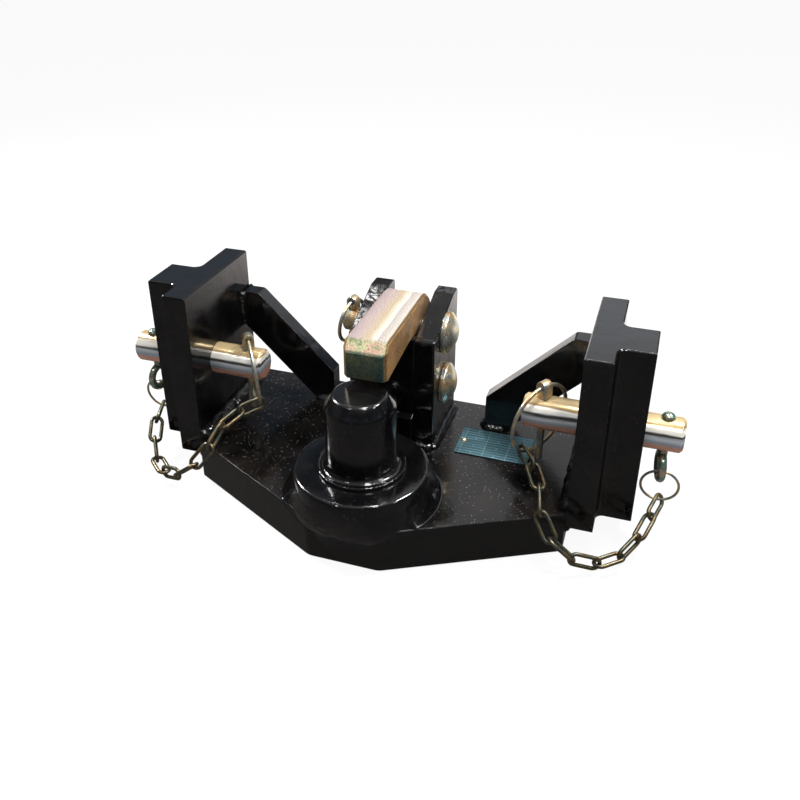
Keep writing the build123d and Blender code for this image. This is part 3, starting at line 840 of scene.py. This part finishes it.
@dataclass(frozen=True)
class Apron:
    """The bead round the flange: a crisp toe on the plate's top, and dressed flush with its nose.

    Sizes are in millimetres. A pair holds a distance on the plate's top and what the nose adds to it.
    """

    foot: float  # radius of the flange
    leg: float
    low: float  # height of the plate's top
    steps: int = 480  # sections round the flange
    rows: int = 16  # corners of the bead's face
    ease: float = 15.0  # overhang at which the bead is all nose
    overlap: float = 0.3  # how far it stands proud of the nose
    sunk: float = 0.5  # how deep its top lies in the flange
    heel: float = 3.0  # how deep its back does
    start_rise: Pair = (11.0, 3.0)
    bend_out: Pair = (3.4, -1.8)
    bend_rise: Pair = (3.2, -6.4)
    toe_back: float = 0.7
    toe_rise: Pair = (1.0, -15.5)
    lip: tuple[tuple[float, float, float], ...] = ((0.25, 0.95, -15.2), (0.0, 0.6, -15.4))
    base_rise: Pair = (-0.2, -15.6)
    dent: Pair = (0.3, 0.5)  # depth of the dents
    dent_mm: Pair = (7.0, 2.2)  # their length and height
    dent_seed: float = 4.0
    dent_level: float = 0.35  # share of the noise that stands proud

    @staticmethod
    def eased(base: float, pair: Pair, over: float) -> float:
        """A distance from a base, over 0 on the plate's top and 1 at the nose."""
        return base + pair[0] + pair[1] * over

    def section(self, turn: float, room: float) -> list[Pair]:
        """Section of the bead.

        Args:
            turn: Angle from +X.
            room: Distance from the post's axis to the plate's outline there.

        Returns:
            Radius and height of each corner.
        """
        over = max(0.0, min(1.0, (self.foot + self.leg - room) / self.ease))
        lip = 1.0 - over
        toe_r = min(self.foot + self.leg, room + self.overlap)
        start = Vector((self.foot - self.sunk, self.eased(self.low, self.start_rise, over)))
        bend = Vector((self.eased(self.foot, self.bend_out, over), self.eased(self.low, self.bend_rise, over)))
        toe = Vector((toe_r - self.toe_back * lip, self.eased(self.low, self.toe_rise, over)))
        corners = []
        for row in range(self.rows):
            s = row / (self.rows - 1)
            point = start * (1 - s) ** 2 + bend * 2 * s * (1 - s) + toe * s * s
            where = (turn * self.foot / self.dent_mm[0], point.y / self.dent_mm[1], self.dent_seed)
            depth = self.eased(0.0, self.dent, over) * math.sin(math.pi * s)
            corners.append((point.x + depth * (noise.noise(Vector(where)) - self.dent_level), point.y))
        corners += [(toe_r - back * lip, self.eased(self.low, (rise * lip, drop), over))
                    for back, rise, drop in self.lip]
        base = self.eased(self.low, self.base_rise, over)
        return corners + [(toe_r, base), (self.foot - self.heel, base), (self.foot - self.heel, start.y)]


# Sub-assemblies


@dataclass
class SubAssembly:
    """A group of pieces that are made together."""

    frame: dict[str, Any]
    pieces: list[Object] = field(default_factory=list)

    def node(self, name: str) -> Object:
        """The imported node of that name."""
        return self.frame["nodes"][name]

    def piece(self, name: str, bm: Mesh, body: str, slot: Slot, nodes: Sequence[str], material: Material,
              crease: float = 36.0, softened: bool = False) -> None:
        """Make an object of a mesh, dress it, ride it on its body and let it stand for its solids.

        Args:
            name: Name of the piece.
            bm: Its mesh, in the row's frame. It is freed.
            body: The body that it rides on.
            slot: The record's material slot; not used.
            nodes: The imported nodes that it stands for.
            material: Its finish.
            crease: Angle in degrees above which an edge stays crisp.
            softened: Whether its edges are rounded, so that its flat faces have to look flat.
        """
        mesh = bpy.data.meshes.new(name)
        bm.to_mesh(mesh)
        bm.free()
        mesh.shade_smooth()
        if softened:
            mesh.normals_split_custom_set_from_vertices(flat_normals(mesh))
        else:
            mesh.set_sharp_from_angle(angle=math.radians(crease))
        mesh.materials.append(material)
        obj = bpy.data.objects.new(name, mesh)
        bpy.context.scene.collection.objects.link(obj)
        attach(obj, body)
        if nodes:
            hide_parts(*nodes)
        self.pieces.append(obj)

    def report(self) -> None:
        """Log the pieces."""
        for obj in self.pieces:
            LOG.info("%s: %s has %d faces", type(self).__name__, obj.name, len(obj.data.polygons))


@dataclass
class WeldedFrame(SubAssembly):
    """Base plate, post, flange, rails, braces, cheeks and their weld beads. Sizes in millimetres."""

    plate_top: float = 30.0
    sink: float = 0.2  # gap that keeps two faces apart
    spigot: Pair = (16.0, 27.0)  # radius of the spigot, and the height where the drawn post starts
    piton_r: float = 22.25
    piton_top: float = 103.0
    crown_high: float = 8.0
    crown_wide: float = 5.6
    piton_swell: float = 0.006  # unevenness of the painted post, in radii
    piton_wave: float = 14.0
    piton_still: float = 8.0  # height over the plate up to which it is even
    flange_r: float = 43.3
    flange_top: float = 50.5
    bore_gap: float = 0.1
    rim_rows: tuple[float, float] = (5.0, 13.0)  # heights of the rim's rows of corners
    rim_inset: float = 2.0
    rim_band: float = 2.5  # what is nearer to the rim is wavy
    rim_wave: Pair = (9.0, 5.0)  # length and height of its waves
    rim_cut: Pair = (0.35, 0.45)  # mean depth of the cut, and what the waves add
    collar: tuple[Pair, ...] = (  # section of the post's bead, from the post and the flange's top
        (0.0, 4.6), (1.2, 3.0), (2.8, 2.1), (4.2, 2.2), (5.0, 2.5), (5.6, 2.3), (6.0, 1.6), (6.1, 0.6),
        (6.1, -0.3), (0.0, -0.3))
    collar_leg: float = 6.0
    collar_core: Pair = (0.5, 0.3)  # its corners nearer than this to the post or the flange stay still
    collar_level: float = 0.97
    collar_relief: float = 0.035
    rail_in: float = 126.5
    rail_low: float = 17.5
    rail_y: Pair = (20.0, 108.0)
    rail_legs: Pair = (7.0, 5.0)  # above and below the plate
    brace_y: Pair = (96.0, 108.0)
    brace_x: Pair = (57.0, 71.3)
    brace_end_z: Pair = (84.0, 110.0)
    brace_leg: float = 4.5
    cheek_x: Pair = (16.0, 29.5)
    cheek_y: Pair = (58.0, 116.0)
    cheek_legs: Pair = (4.6, 6.0)  # at the side and in front
    spacer_y: float = 54.0
    spacer_leg: float = 2.6
    nose: Pair = (23.0, -36.0)
    shoulder: Pair = (126.5, 17.5)
    flange_leg: float = 8.0
    seed_step: float = 3.7  # sets the beads of one piece apart
    spatter_count: int = 36
    spatter_at: tuple[tuple[float, float, float], ...] = (  # middles of rings of spatter, and their radii
        (0, 0, 58), (100, 30, 24), (-100, 30, 24), (110, 80, 16), (-110, 80, 16), (45, 70, 18), (-45, 70, 18))
    spatter_size: Pair = (0.25, 0.6)
    spatter_flat: float = 0.7

    def build(self, paint: Material, plate_paint: Material, runny_paint: Material) -> None:
        """Build and dress the frame.

        Args:
            paint: Enamel of the frame.
            plate_paint: Enamel of the plate, gritty on top, with painted glints on the grit and a painted sheen
                on top.
            runny_paint: Enamel of the cheeks, where it ran.
        """
        coats = {"base_plate": plate_paint, "right_cheek": runny_paint, "left_cheek": runny_paint}
        soft = {"base_plate": 1.5, "right_rail": 0.9, "left_rail": 0.9, "right_brace": 0.9, "left_brace": 0.9,
                "right_cheek": 1.0, "left_cheek": 1.0, "cheek_spacer": 0.6, "spigot_weld": 0.4}
        for name, width in soft.items():
            bm = soften(solid_copy(self.node(name)), width)
            self.piece(f"{name}_body", bm, "frame", Slot.PAINT, [name], coats.get(name, paint), softened=True)
        for name, bm, nodes, crease in (
            ("piton_post", self.post(), ["piton"], 36.0),
            ("flange_disc", self.flange(), ["piton_flange"], 36.0),
            ("collar_bead", self.collar_mesh(), ["piton_weld"], 60.0),
            ("flange_apron", self.apron(), ["flange_weld", "nose_weld"], 40.0), *self.seams(),
        ):
            self.piece(name, bm, "frame", Slot.PAINT, nodes, paint, crease)
        self.piece("weld_spatter", self.spatter(), "frame", Slot.PAINT, [], plate_paint, 80.0)

    def post(self) -> Mesh:
        """The piton: a turned post with a bevelled crown, a little uneven under its paint.

        Returns:
            The closed mesh.
        """
        r, top, (inner, start) = self.piton_r, self.piton_top, self.spigot
        seat = self.plate_top + self.sink
        profile = [(0, start), (inner, start), (inner, seat), (r, seat), (r, top - self.crown_high)]
        profile += [(r - self.crown_wide, top), (0, top)]
        bm = soften(turned(profile, 128), 1.6, segments=4, angle=25.0)
        for vert in bm.verts:
            if vert.co.z > (self.plate_top + self.piton_still) * MM:
                swell = 1 + self.piton_swell * noise.noise(vert.co / (self.piton_wave * MM))
                vert.co.x *= swell
                vert.co.y *= swell
        return bm

    def flange(self) -> Mesh:
        """The round flange, flame-cut, with a rounded rim and a wavy side.

        Returns:
            The closed mesh.
        """
        r, low, top, bore = self.flange_r, self.plate_top, self.flange_top, self.piton_r + self.bore_gap
        profile = [(bore, low), (r - self.rim_inset, low)] + [(r, low + rise) for rise in self.rim_rows]
        bm = soften(turned(profile + [(r, top), (bore, top)], 144, True), 2.4, segments=4, angle=40.0)
        (long, high), (mean, more) = self.rim_wave, self.rim_cut
        for vert in bm.verts:
            flat = Vector((vert.co.x, vert.co.y, 0))
            if flat.length > (r - self.rim_band) * MM:
                where = (vert.co.x / (long * MM), vert.co.y / (long * MM), vert.co.z / (high * MM))
                vert.co -= flat.normalized() * (mean + more * noise.noise(Vector(where))) * MM
        return bm

    def collar_mesh(self) -> Mesh:
        """The rippled bead round the post.

        Returns:
            The closed mesh.
        """
        wall, floor, leg = self.piton_r, self.flange_top, self.collar_leg
        bm = turned([(wall + r, floor + z) for r, z in self.collar], 300, True)
        ripples = Ripples(pitch=3.4, seed=3.1)
        for vert in bm.verts:
            flat = Vector((vert.co.x, vert.co.y, 0))
            reach = flat.length / MM - wall
            rise = vert.co.z / MM - floor
            if reach > self.collar_core[0] and rise > self.collar_core[1]:
                place = (math.atan2(flat.y, flat.x) + math.pi) * (wall + leg / 2)
                grow = self.collar_level + self.collar_relief * ripples.at(place, min(reach, rise) / leg * 2)
                vert.co.z = (floor + rise * grow) * MM
                spread = (wall + reach * grow) * MM / flat.length
                vert.co.x *= spread
                vert.co.y *= spread
        return bm

    def outline(self, turn: float) -> float:
        """Distance in millimetres from the post's axis to the plate's front outline.

        Args:
            turn: Angle from +X.

        Returns:
            The distance, or a very long one where the outline isn't in front.
        """
        (nx, ny), (sx, sy) = self.nose, self.shoulder
        across, up = abs(math.cos(turn)), math.sin(turn)
        reach = [ny / up] if up < 0 else []
        lean = (sy - ny) / (sx - nx)
        if up < lean * across:
            reach.append((ny - lean * nx) / (up - lean * across))
        return min(reach, default=1e3)

    def apron(self) -> Mesh:
        """The bead round the flange.

        Returns:
            The closed mesh.
        """
        bead = Apron(self.flange_r, self.flange_leg, self.plate_top)
        bm = bmesh.new()
        rings = []
        for turn in (math.tau * step / bead.steps for step in range(bead.steps)):
            rings.append([bm.verts.new((r * math.cos(turn) * MM, r * math.sin(turn) * MM, z * MM))
                          for r, z in bead.section(turn, self.outline(turn))])
        for one, two in zip(rings, rings[1:] + rings[:1]):
            for a in range(len(one)):
                b = (a + 1) % len(one)
                bm.faces.new((one[a], two[a], two[b], one[b]))
        return tidy(bm)

    def runs(self, side: Side) -> dict[str, list[tuple[Point, Point, float, Point, Point]]]:
        """The straight beads on one side.

        Args:
            side: The side.

        Returns:
            Start, end, leg and the walls' directions of each bead, by the piece that it holds.
        """
        sign, z, low, x = side.sign, self.plate_top, self.rail_low, side.sign * self.rail_in
        inward, outward = (-sign, 0, 0), (sign, 0, 0)
        near, far = (sign * place for place in self.cheek_x)
        foot, heel = (sign * place for place in self.brace_x)
        (r0, r1), (c0, c1), (b0, b1), (e0, e1) = self.rail_y, self.cheek_y, self.brace_y, self.brace_end_z
        leg = self.brace_leg
        runs = {
            "rail": [((x, r0, z), (x, r1, z), self.rail_legs[0], UP, inward),
                     ((x, r0, low), (x, r1, low), self.rail_legs[1], DOWN, outward)],
            "cheek": [((far, c0, z), (far, c1, z), self.cheek_legs[0], UP, outward),
                      ((near, c0, z), (far, c0, z), self.cheek_legs[1], UP, FRONT)],
            "brace": [((foot, b0, z), (foot, b1, z), leg, UP, inward)],
        }
        for y, out in ((b0, FRONT), (b1, BACK)):
            runs["brace"] += [((foot, y, z), (heel, y, z), leg, UP, out),
                              ((x, y, e0), (x, y, e1), leg, inward, out)]
        return runs

    def seams(self) -> list[tuple[str, Mesh, list[str], float]]:
        """The straight beads at the rails, braces, cheeks and spacer.

        Returns:
            Name, mesh, nodes and crease angle of each piece.
        """
        made = []
        for side in Side:
            for name, beads in self.runs(side).items():
                bm = bmesh.new()
                for number, bead in enumerate(beads):
                    add_to(bm, Fillet(*bead, seed=number * self.seed_step + side.sign + len(name)).mesh())
                made.append((f"{side.value}_{name}_beads", bm, [f"{side.value}_{name}_weld"], 60.0))
        wide, y, z = self.cheek_x[0], self.spacer_y, self.plate_top
        bead = Fillet((-wide, y, z), (wide, y, z), self.spacer_leg, UP, FRONT, seed=9.1)
        return made + [("spacer_bead", bead.mesh(), ["spacer_weld"], 60.0)]

    def is_bare(self, x: float, y: float) -> bool:
        """Whether a place on the plate's top is clear of its edges and of what stands there.

        Args:
            x: Distance to the right of the post's axis in millimetres.
            y: Distance behind it.

        Returns:
            Whether spatter may lie there.
        """
        (nx, ny), (sx, sy) = self.nose, self.shoulder
        front = max(ny + (abs(x) - nx) * (sy - ny) / (sx - nx), ny)
        on_plate = abs(x) < 118 and front + 3 < y < 90
        at_flange = math.hypot(x, y) <= 53
        at_tag = 43 < x < 95 and 59 < y < 92
        at_cheeks = abs(x) < 38 and y > 48
        return on_plate and not (at_flange or at_tag or at_cheeks)

    def spatter(self) -> Mesh:
        """Weld spatter painted over, near the beads on the plate's top.

        Returns:
            A mesh of small lumps.
        """
        rng = np.random.default_rng(7)
        bm = bmesh.new()
        while len(bm.verts) < self.spatter_count * 12:  # an icosphere has 12 corners
            ax, ay, spread = self.spatter_at[rng.integers(len(self.spatter_at))]
            turn, far = rng.uniform(0, math.tau), spread * rng.uniform(0.75, 1.25)
            x, y = ax + far * math.cos(turn), ay + far * math.sin(turn)
            if self.is_bare(x, y):
                size = float(rng.uniform(*self.spatter_size)) * MM
                where = Matrix.Translation((x * MM, y * MM, self.plate_top * MM))
                where = where @ Matrix.Diagonal((1, 1, self.spatter_flat, 1))
                bmesh.ops.create_icosphere(bm, subdivisions=1, radius=size, matrix=where)
        return bm


@dataclass
class TypePlate(SubAssembly):
    """Riveted plate with empty fields."""

    def build(self, etched: Material, zinc: Material) -> None:
        """Build and dress the plate and its rivets.

        Args:
            etched: Finish of the plate.
            zinc: Finish of the rivets.
        """
        sheet = soften(solid_copy(self.node("type_plate")), 0.15, 2)
        self.piece("type_plate_sheet", sheet, "frame", Slot.TAG, ["type_plate"], etched)
        heads = solid_copy(self.node("type_plate_rivets"))
        self.piece("type_plate_rivet_heads", heads, "frame", Slot.RIVET, ["type_plate_rivets"], zinc, 50.0)


@dataclass
class HoldDown(SubAssembly):
    """The hold-down, its two cross pins and what secures them. Sizes in millimetres."""

    axis_y: float = 84.0
    pivot_z: float = 69.0
    lock_z: float = 107.5
    pin_r: float = 8.0
    tail_x: float = -41.0
    tail_bevel: float = 1.2
    seat_x: float = 29.55
    head_r: float = 14.0
    rim: float = 3.0
    dome: float = 6.0
    ring: tuple[float, float] = (15.0, 1.3)

    def build(self, cast: Material, plated: Material) -> None:
        """Build and dress the hold-down's set.

        Args:
            cast: Zinc on the forged arm, with a painted highlight streak on top and a nose painted dark as
                shade.
            plated: Zinc on turned and bent pieces.
        """
        arm = soften(solid_copy(self.node("hold_down")), 1.5, 4)
        self.piece("hold_down_arm", arm, "hold_down", Slot.ZINC, ["hold_down"], cast, softened=True)
        for name, body, z in (("pivot_pin", "frame", self.pivot_z), ("lock_pin", "lock_pin", self.lock_z)):
            self.piece(f"{name}_turned", self.cross_pin(z), body, Slot.ZINC, [name], plated, 40.0)
        for name, body in (("lock_linch_pin", "lock_linch"), ("pivot_split_pin", "frame")):
            bm = soften(solid_copy(self.node(name)), 0.4, 2, 40.0)
            self.piece(f"{name}_formed", bm, body, Slot.ZINC, [name], plated, 45.0)
        wire = put(wire_ring(*self.ring), lie_of(islands(self.node("lock_linch_ring"))[0]))
        self.piece("lock_linch_wire", wire, "lock_ring", Slot.ZINC, ["lock_linch_ring"], plated, 60.0)

    def cross_pin(self, z: float) -> Mesh:
        """A cross pin with a domed head on the right.

        Args:
            z: Height of its axis.

        Returns:
            The closed mesh.
        """
        crown = self.seat_x + self.rim
        ball = (self.head_r ** 2 + self.dome ** 2) / (2 * self.dome)
        half = math.asin(self.head_r / ball)
        profile = [(0, self.tail_x), (self.pin_r - self.tail_bevel, self.tail_x),
                   (self.pin_r, self.tail_x + self.tail_bevel)]
        profile += [(self.pin_r, self.seat_x), (self.head_r, self.seat_x)]
        profile += [(ball * math.sin(t), crown + self.dome - ball * (1 - math.cos(t)))
                    for t in np.linspace(half, 0, 14)]
        bm = soften(turned(profile, 72), 0.5, 3, 30.0)
        return put(bm, along((1, 0, 0), (0, self.axis_y, z)))


@dataclass
class SidePinSet(SubAssembly):
    """One side pin with its linch pin, ring, eye, split ring and chain. Sizes in millimetres."""

    side: Side = Side.RIGHT
    pin_bevel: float = 1.8
    linch_ring: tuple[float, float] = (24.0, 1.3)
    split_ring: tuple[float, float] = (11.5, 0.85)
    eye_loop: tuple[float, float] = (8.2, 2.6)
    eye_knob: tuple[float, float] = (4.2, 3.0)
    eye_turn: float = 10.0  # degrees
    eye_y: float = 54.0
    eye_stem: float = 3.0  # radius of the stem
    eye_sunk: float = 1.0  # how deep the stem lies in the loop
    link_half_width: float = 3.9
    link_wire: float = 1.3

    @property
    def body(self) -> str:
        """The body that the set rides on."""
        return f"{self.side.value}_pin_set"

    def build(self, bright: Material, plated: Material, tinted: Material, worn: Material) -> None:
        """Build and dress the set.

        Args:
            bright: Zinc on the side pin, painted in bands by height that stand for its reflections.
            plated: Zinc on the linch pin and the rings.
            tinted: Zinc on the eye.
            worn: Zinc on the chain.
        """
        name = self.side.value
        linch = soften(solid_copy(self.node(f"{name}_linch_pin")), 0.5, 3, 40.0)
        rings = [put(wire_ring(*sizes), lie_of(islands(self.node(f"{name}_{part}"))[0]))
                 for part, sizes in (("linch_ring", self.linch_ring), ("split_ring", self.split_ring))]
        for piece, bm, node, material, crease in (
            ("pin_turned", self.pin(), "side_pin", bright, 30.0),
            ("linch_formed", linch, "linch_pin", plated, 45.0),
            ("linch_ring_wire", rings[0], "linch_ring", plated, 60.0),
            ("split_ring_wire", rings[1], "split_ring", plated, 60.0),
            ("eye_forged", self.eye(), "pin_eye", tinted, 40.0),
            ("chain_links", self.chain(), "chain", worn, 60.0),
        ):
            self.piece(f"{name}_{piece}", bm, self.body, Slot.ZINC, [f"{name}_{node}"], material, crease)

    def pin(self) -> Mesh:
        """The turned side pin, where its solid is.

        Returns:
            The closed mesh.
        """
        low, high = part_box(f"{self.side.value}_side_pin")
        radius, long = (high.z - low.z) / 2 / MM, (high.x - low.x) / MM
        bevel = self.pin_bevel
        profile = [(0, 0), (radius - bevel, 0), (radius, bevel)]
        profile += [(radius, long - bevel), (radius - bevel, long), (0, long)]
        bm = soften(turned(profile), 0.5, 3, 25.0)
        centre = (low + high) / 2 / MM
        return put(bm, along((1, 0, 0), (low.x / MM, centre.y, centre.z)))

    def eye(self) -> Mesh:
        """The eye: loop, stem and riveted knob.

        Returns:
            The closed mesh.
        """
        low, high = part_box(f"{self.side.value}_pin_eye")
        (loop, wire), (knob, rise) = self.eye_loop, self.eye_knob
        x, y = (low.x + high.x) / 2 / MM, self.eye_y
        centre = (x, y, low.z / MM + loop + wire)
        turn = math.radians(self.eye_turn)
        bm = put(wire_ring(loop, wire, 48), along((self.side.sign * math.cos(turn), math.sin(turn), 0), centre))
        top, foot, stem = high.z / MM, centre[2] + loop - self.eye_sunk, self.eye_stem
        profile = [(0, foot), (stem, foot), (stem, top - rise), (knob, top - rise)]
        profile += [(knob * math.cos(t), top - rise + rise * math.sin(t))
                    for t in np.linspace(0.3, math.pi / 2, 8)]
        add_to(bm, put(turned(profile, 40), Matrix.Translation((x * MM, y * MM, 0))))
        return bm

    def chain(self) -> Mesh:
        """The chain, one link where each of the solid's links lies.

        Returns:
            The closed mesh.
        """
        bm = bmesh.new()
        for points in islands(self.node(f"{self.side.value}_chain")):
            lie = lie_of(points)
            local = (np.c_[points, np.ones(len(points))] @ np.array(lie.inverted()).T)[:, 0]
            length = (local.max() - local.min()) / MM - 2 * self.link_wire
            add_to(bm, put(chain_link(length, self.link_half_width, self.link_wire), lie))
        return bm


@dataclass(frozen=True)
class Lamp:
    """A square soft box: its place in metres, its power in watts and its width in metres."""

    name: str
    place: tuple[float, float, float]
    power: float
    width: float


@dataclass
class Studio:
    """Pale floor, soft lights and the camera at the photograph's angle. Lengths are in metres."""

    centre: tuple[float, float, float] = (0.16075, -0.41916, 0.37502)
    right: tuple[float, float, float] = (0.94704, 0.32109, -0.00506)
    down: tuple[float, float, float] = (0.14848, -0.45180, -0.87968)
    forward: tuple[float, float, float] = (-0.28474, 0.83233, -0.47554)
    lens: float = 39.46
    shift: Pair = (0.0162, -0.0633)
    aim: tuple[float, float, float] = (0.0, 0.03, 0.05)  # where the lamps point
    lights: tuple[Lamp, ...] = (  # most draw thin lines along rims and edges
        Lamp("left_box", (-0.75, 0.22, 0.63), 12.0, 0.16), Lamp("right_box", (0.45, 0.28, 0.85), 9.0, 0.14),
        Lamp("top_box", (0.12, 0.02, 1.0), 5.0, 0.12), Lamp("front_box", (-0.28, -0.48, 0.84), 0.8, 0.06),
        Lamp("edge_box", (0.33, -0.36, 0.87), 2.0, 0.08), Lamp("side_box", (0.80, -0.08, 0.85), 2.0, 0.12),
        Lamp("slope_box", (-0.37, 0.45, 0.98), 0.3, 0.06), Lamp("rear_box", (0.1, 0.95, 0.85), 1.5, 0.8))
    paper: str = "#e9e9e9"
    glow: float = 0.93  # share of its own white that the floor shows to the camera
    mirrored: tuple[str, str] = ("#6f6c69", "#f2ece8")  # the floor in reflections, in front and behind
    mirrored_y: Pair = (0.2, 0.42)
    mirrored_power: Pair = (1.0, 2.0)
    sky_at: tuple[float, ...] = (0.0, 0.12, 0.43, 0.54, 0.64, 0.85)
    cool: tuple[str, ...] = ("#3c3f42", "#24272b", "#8392a2", "#5a6672", "#454c54", "#dde0e4")
    warm: tuple[str, ...] = ("#4a4744", "#2a2725", "#6b6764", "#464444", "#403e3d", "#d6d2cc")
    patch_at: Pair = (0.5, 0.64)
    sky_power: float = 0.9

    def build(self) -> None:
        """Build the studio."""
        self.camera()
        self.floor()
        self.lamps()
        self.world()

    def camera(self) -> None:
        """Camera fitted to the photograph's edges and corners."""
        data = bpy.data.cameras.new("photo_camera")
        data.sensor_width, data.sensor_fit, data.lens = 36.0, "HORIZONTAL", self.lens
        data.shift_x, data.shift_y = self.shift
        obj = bpy.data.objects.new("photo_camera", data)
        turn = Matrix((Vector(self.right), -Vector(self.down), -Vector(self.forward))).transposed().to_4x4()
        obj.matrix_world = Matrix.Translation(self.centre) @ turn
        bpy.context.scene.collection.objects.link(obj)
        bpy.context.scene.camera = obj

    def floor(self) -> None:
        """Pale sweep that shows white with a soft shadow. In reflections it is dim in front, bright behind."""
        bm = bmesh.new()
        bmesh.ops.create_grid(bm, x_segments=1, y_segments=1, size=4.0)
        mesh = bpy.data.meshes.new("studio_floor")
        bm.to_mesh(mesh)
        bm.free()
        obj = bpy.data.objects.new("studio_floor", mesh)
        bpy.context.scene.collection.objects.link(obj)
        material, tree, shader, place = new_material("white_paper_sweep")
        tree.nodes.remove(shader)
        rays = add_node(tree, "ShaderNodeLightPath")
        paper = add_node(tree, "ShaderNodeBsdfDiffuse", {"Color": linear(self.paper)})
        white = add_node(tree, "ShaderNodeEmission", {"Color": linear(WHITE), "Strength": 1.0})
        behind = span(tree, add_node(tree, "ShaderNodeSeparateXYZ", {0: place}).outputs["Y"], *self.mirrored_y)
        mirrored = add_node(tree, "ShaderNodeEmission", {
            "Color": ramp(tree, behind, zip((0.0, 1.0), self.mirrored)),
            "Strength": span(tree, behind, 0.0, 1.0, self.mirrored_power)})
        share = compute(tree, "MULTIPLY", rays.outputs["Is Camera Ray"], self.glow)
        shown = add_node(tree, "ShaderNodeMixShader", {0: share, 1: paper.outputs[0], 2: white.outputs[0]})
        mix = add_node(tree, "ShaderNodeMixShader", {
            0: rays.outputs["Is Glossy Ray"], 1: shown.outputs[0], 2: mirrored.outputs[0]})
        tree.links.new(mix.outputs[0], tree.nodes["Material Output"].inputs["Surface"])
        mesh.materials.append(material)

    def lamps(self) -> None:
        """Soft boxes all round."""
        for lamp in self.lights:
            data = bpy.data.lights.new(lamp.name, "AREA")
            data.energy, data.size = lamp.power, lamp.width
            obj = bpy.data.objects.new(lamp.name, data)
            turn = (Vector(self.aim) - Vector(lamp.place)).to_track_quat("-Z", "Y").to_matrix().to_4x4()
            obj.matrix_world = Matrix.Translation(lamp.place) @ turn
            bpy.context.scene.collection.objects.link(obj)

    def world(self) -> None:
        """White for the camera. What lights the metal is dark low down and pale overhead, in two tints."""
        world = bpy.data.worlds.new("studio_world")
        bpy.context.scene.world = world
        world.use_nodes = True
        tree = world.node_tree
        tree.nodes.clear()
        facing = add_node(tree, "ShaderNodeTexCoord").outputs["Generated"]
        height = add_node(tree, "ShaderNodeSeparateXYZ", {0: facing}).outputs["Z"]
        patches = add_node(tree, "ShaderNodeTexNoise", {"Vector": facing, "Scale": 2.6, "Detail": 1.0})
        cool, warm = (ramp(tree, height, zip(self.sky_at, tones)) for tones in (self.cool, self.warm))
        sky = blend(tree, span(tree, patches.outputs["Fac"], *self.patch_at), cool, warm)
        rays = add_node(tree, "ShaderNodeLightPath")
        light = add_node(tree, "ShaderNodeBackground", {"Color": sky, "Strength": self.sky_power})
        white = add_node(tree, "ShaderNodeBackground", {"Color": linear(WHITE), "Strength": 1.0})
        mix = add_node(tree, "ShaderNodeMixShader", {
            0: rays.outputs["Is Camera Ray"], 1: light.outputs[0], 2: white.outputs[0]})
        add_node(tree, "ShaderNodeOutputWorld", {"Surface": mix.outputs[0]})


def main() -> None:
    """Build every sub-assembly and the studio, and log their pieces."""
    logging.basicConfig(level=logging.INFO, format="%(message)s")
    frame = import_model()
    bpy.context.scene.view_settings.view_transform = "Standard"

    paint = BlackEnamel().make()
    # the plate's enamel: pale grit flecks painted as glints, and a brownish sheen painted on its top only
    plate_paint = BlackEnamel(
        "black_enamel_on_mill_scale_with_painted_glints_and_sheen", deep="#060606", dust_and_sheen="#14100e", grit_and_glint="#8f867c", gloss=0.12, dull=0.26,
        grit=0.8, grit_mm=0.24, grit_from=29.8).make()
    runny_paint = BlackEnamel(
        "black_enamel_in_runs", gloss=0.08, dull=0.16, wave_mm=12.0, wave=0.35, peel=0.04).make()
    # the hold-down's zinc: its near-white top streak is a painted highlight, and its nose is painted dark as
    # shade
    forged = ForgedZinc().make()
    plated = YellowZinc(rough=0.3).make()
    # the side pins' colours are painted reflection bands by height along the pin
    bright = YellowZinc(
        "zinc_on_turned_pin_with_painted_bands", "#c9b185", "#a87a66", "#7d8790", "#45413f", rough=0.2, grain=0.06, metal=0.5,
        painted_reflection_bands=(77.5, 11.0)).make()
    worn = YellowZinc(
        "worn_zinc_on_chain", "#6e6146", "#5e4634", "#4e524a", "#2c271f", rough=0.3, cloud_mm=9.0,
        grain_mm=0.7, grain=0.3).make()
    tinted = YellowZinc(
        "zinc_on_forged_eye", "#b3a98a", "#bd8d80", "#66908a", "#46524c", rough=0.2, cloud_mm=4.0,
        metal=0.8).make()
    etched = EtchedAluminium().make()

    welded = WeldedFrame(frame)
    welded.build(paint, plate_paint, runny_paint)
    tag = TypePlate(frame)
    tag.build(etched, plated)
    hold = HoldDown(frame)
    hold.build(forged, plated)
    sets = [SidePinSet(frame, side=side) for side in Side]
    for pin_set in sets:
        pin_set.build(bright, plated, tinted, worn)
    Studio().build()
    for group in (welded, tag, hold, *sets):
        group.report()


if __name__ == "__main__":
    main()
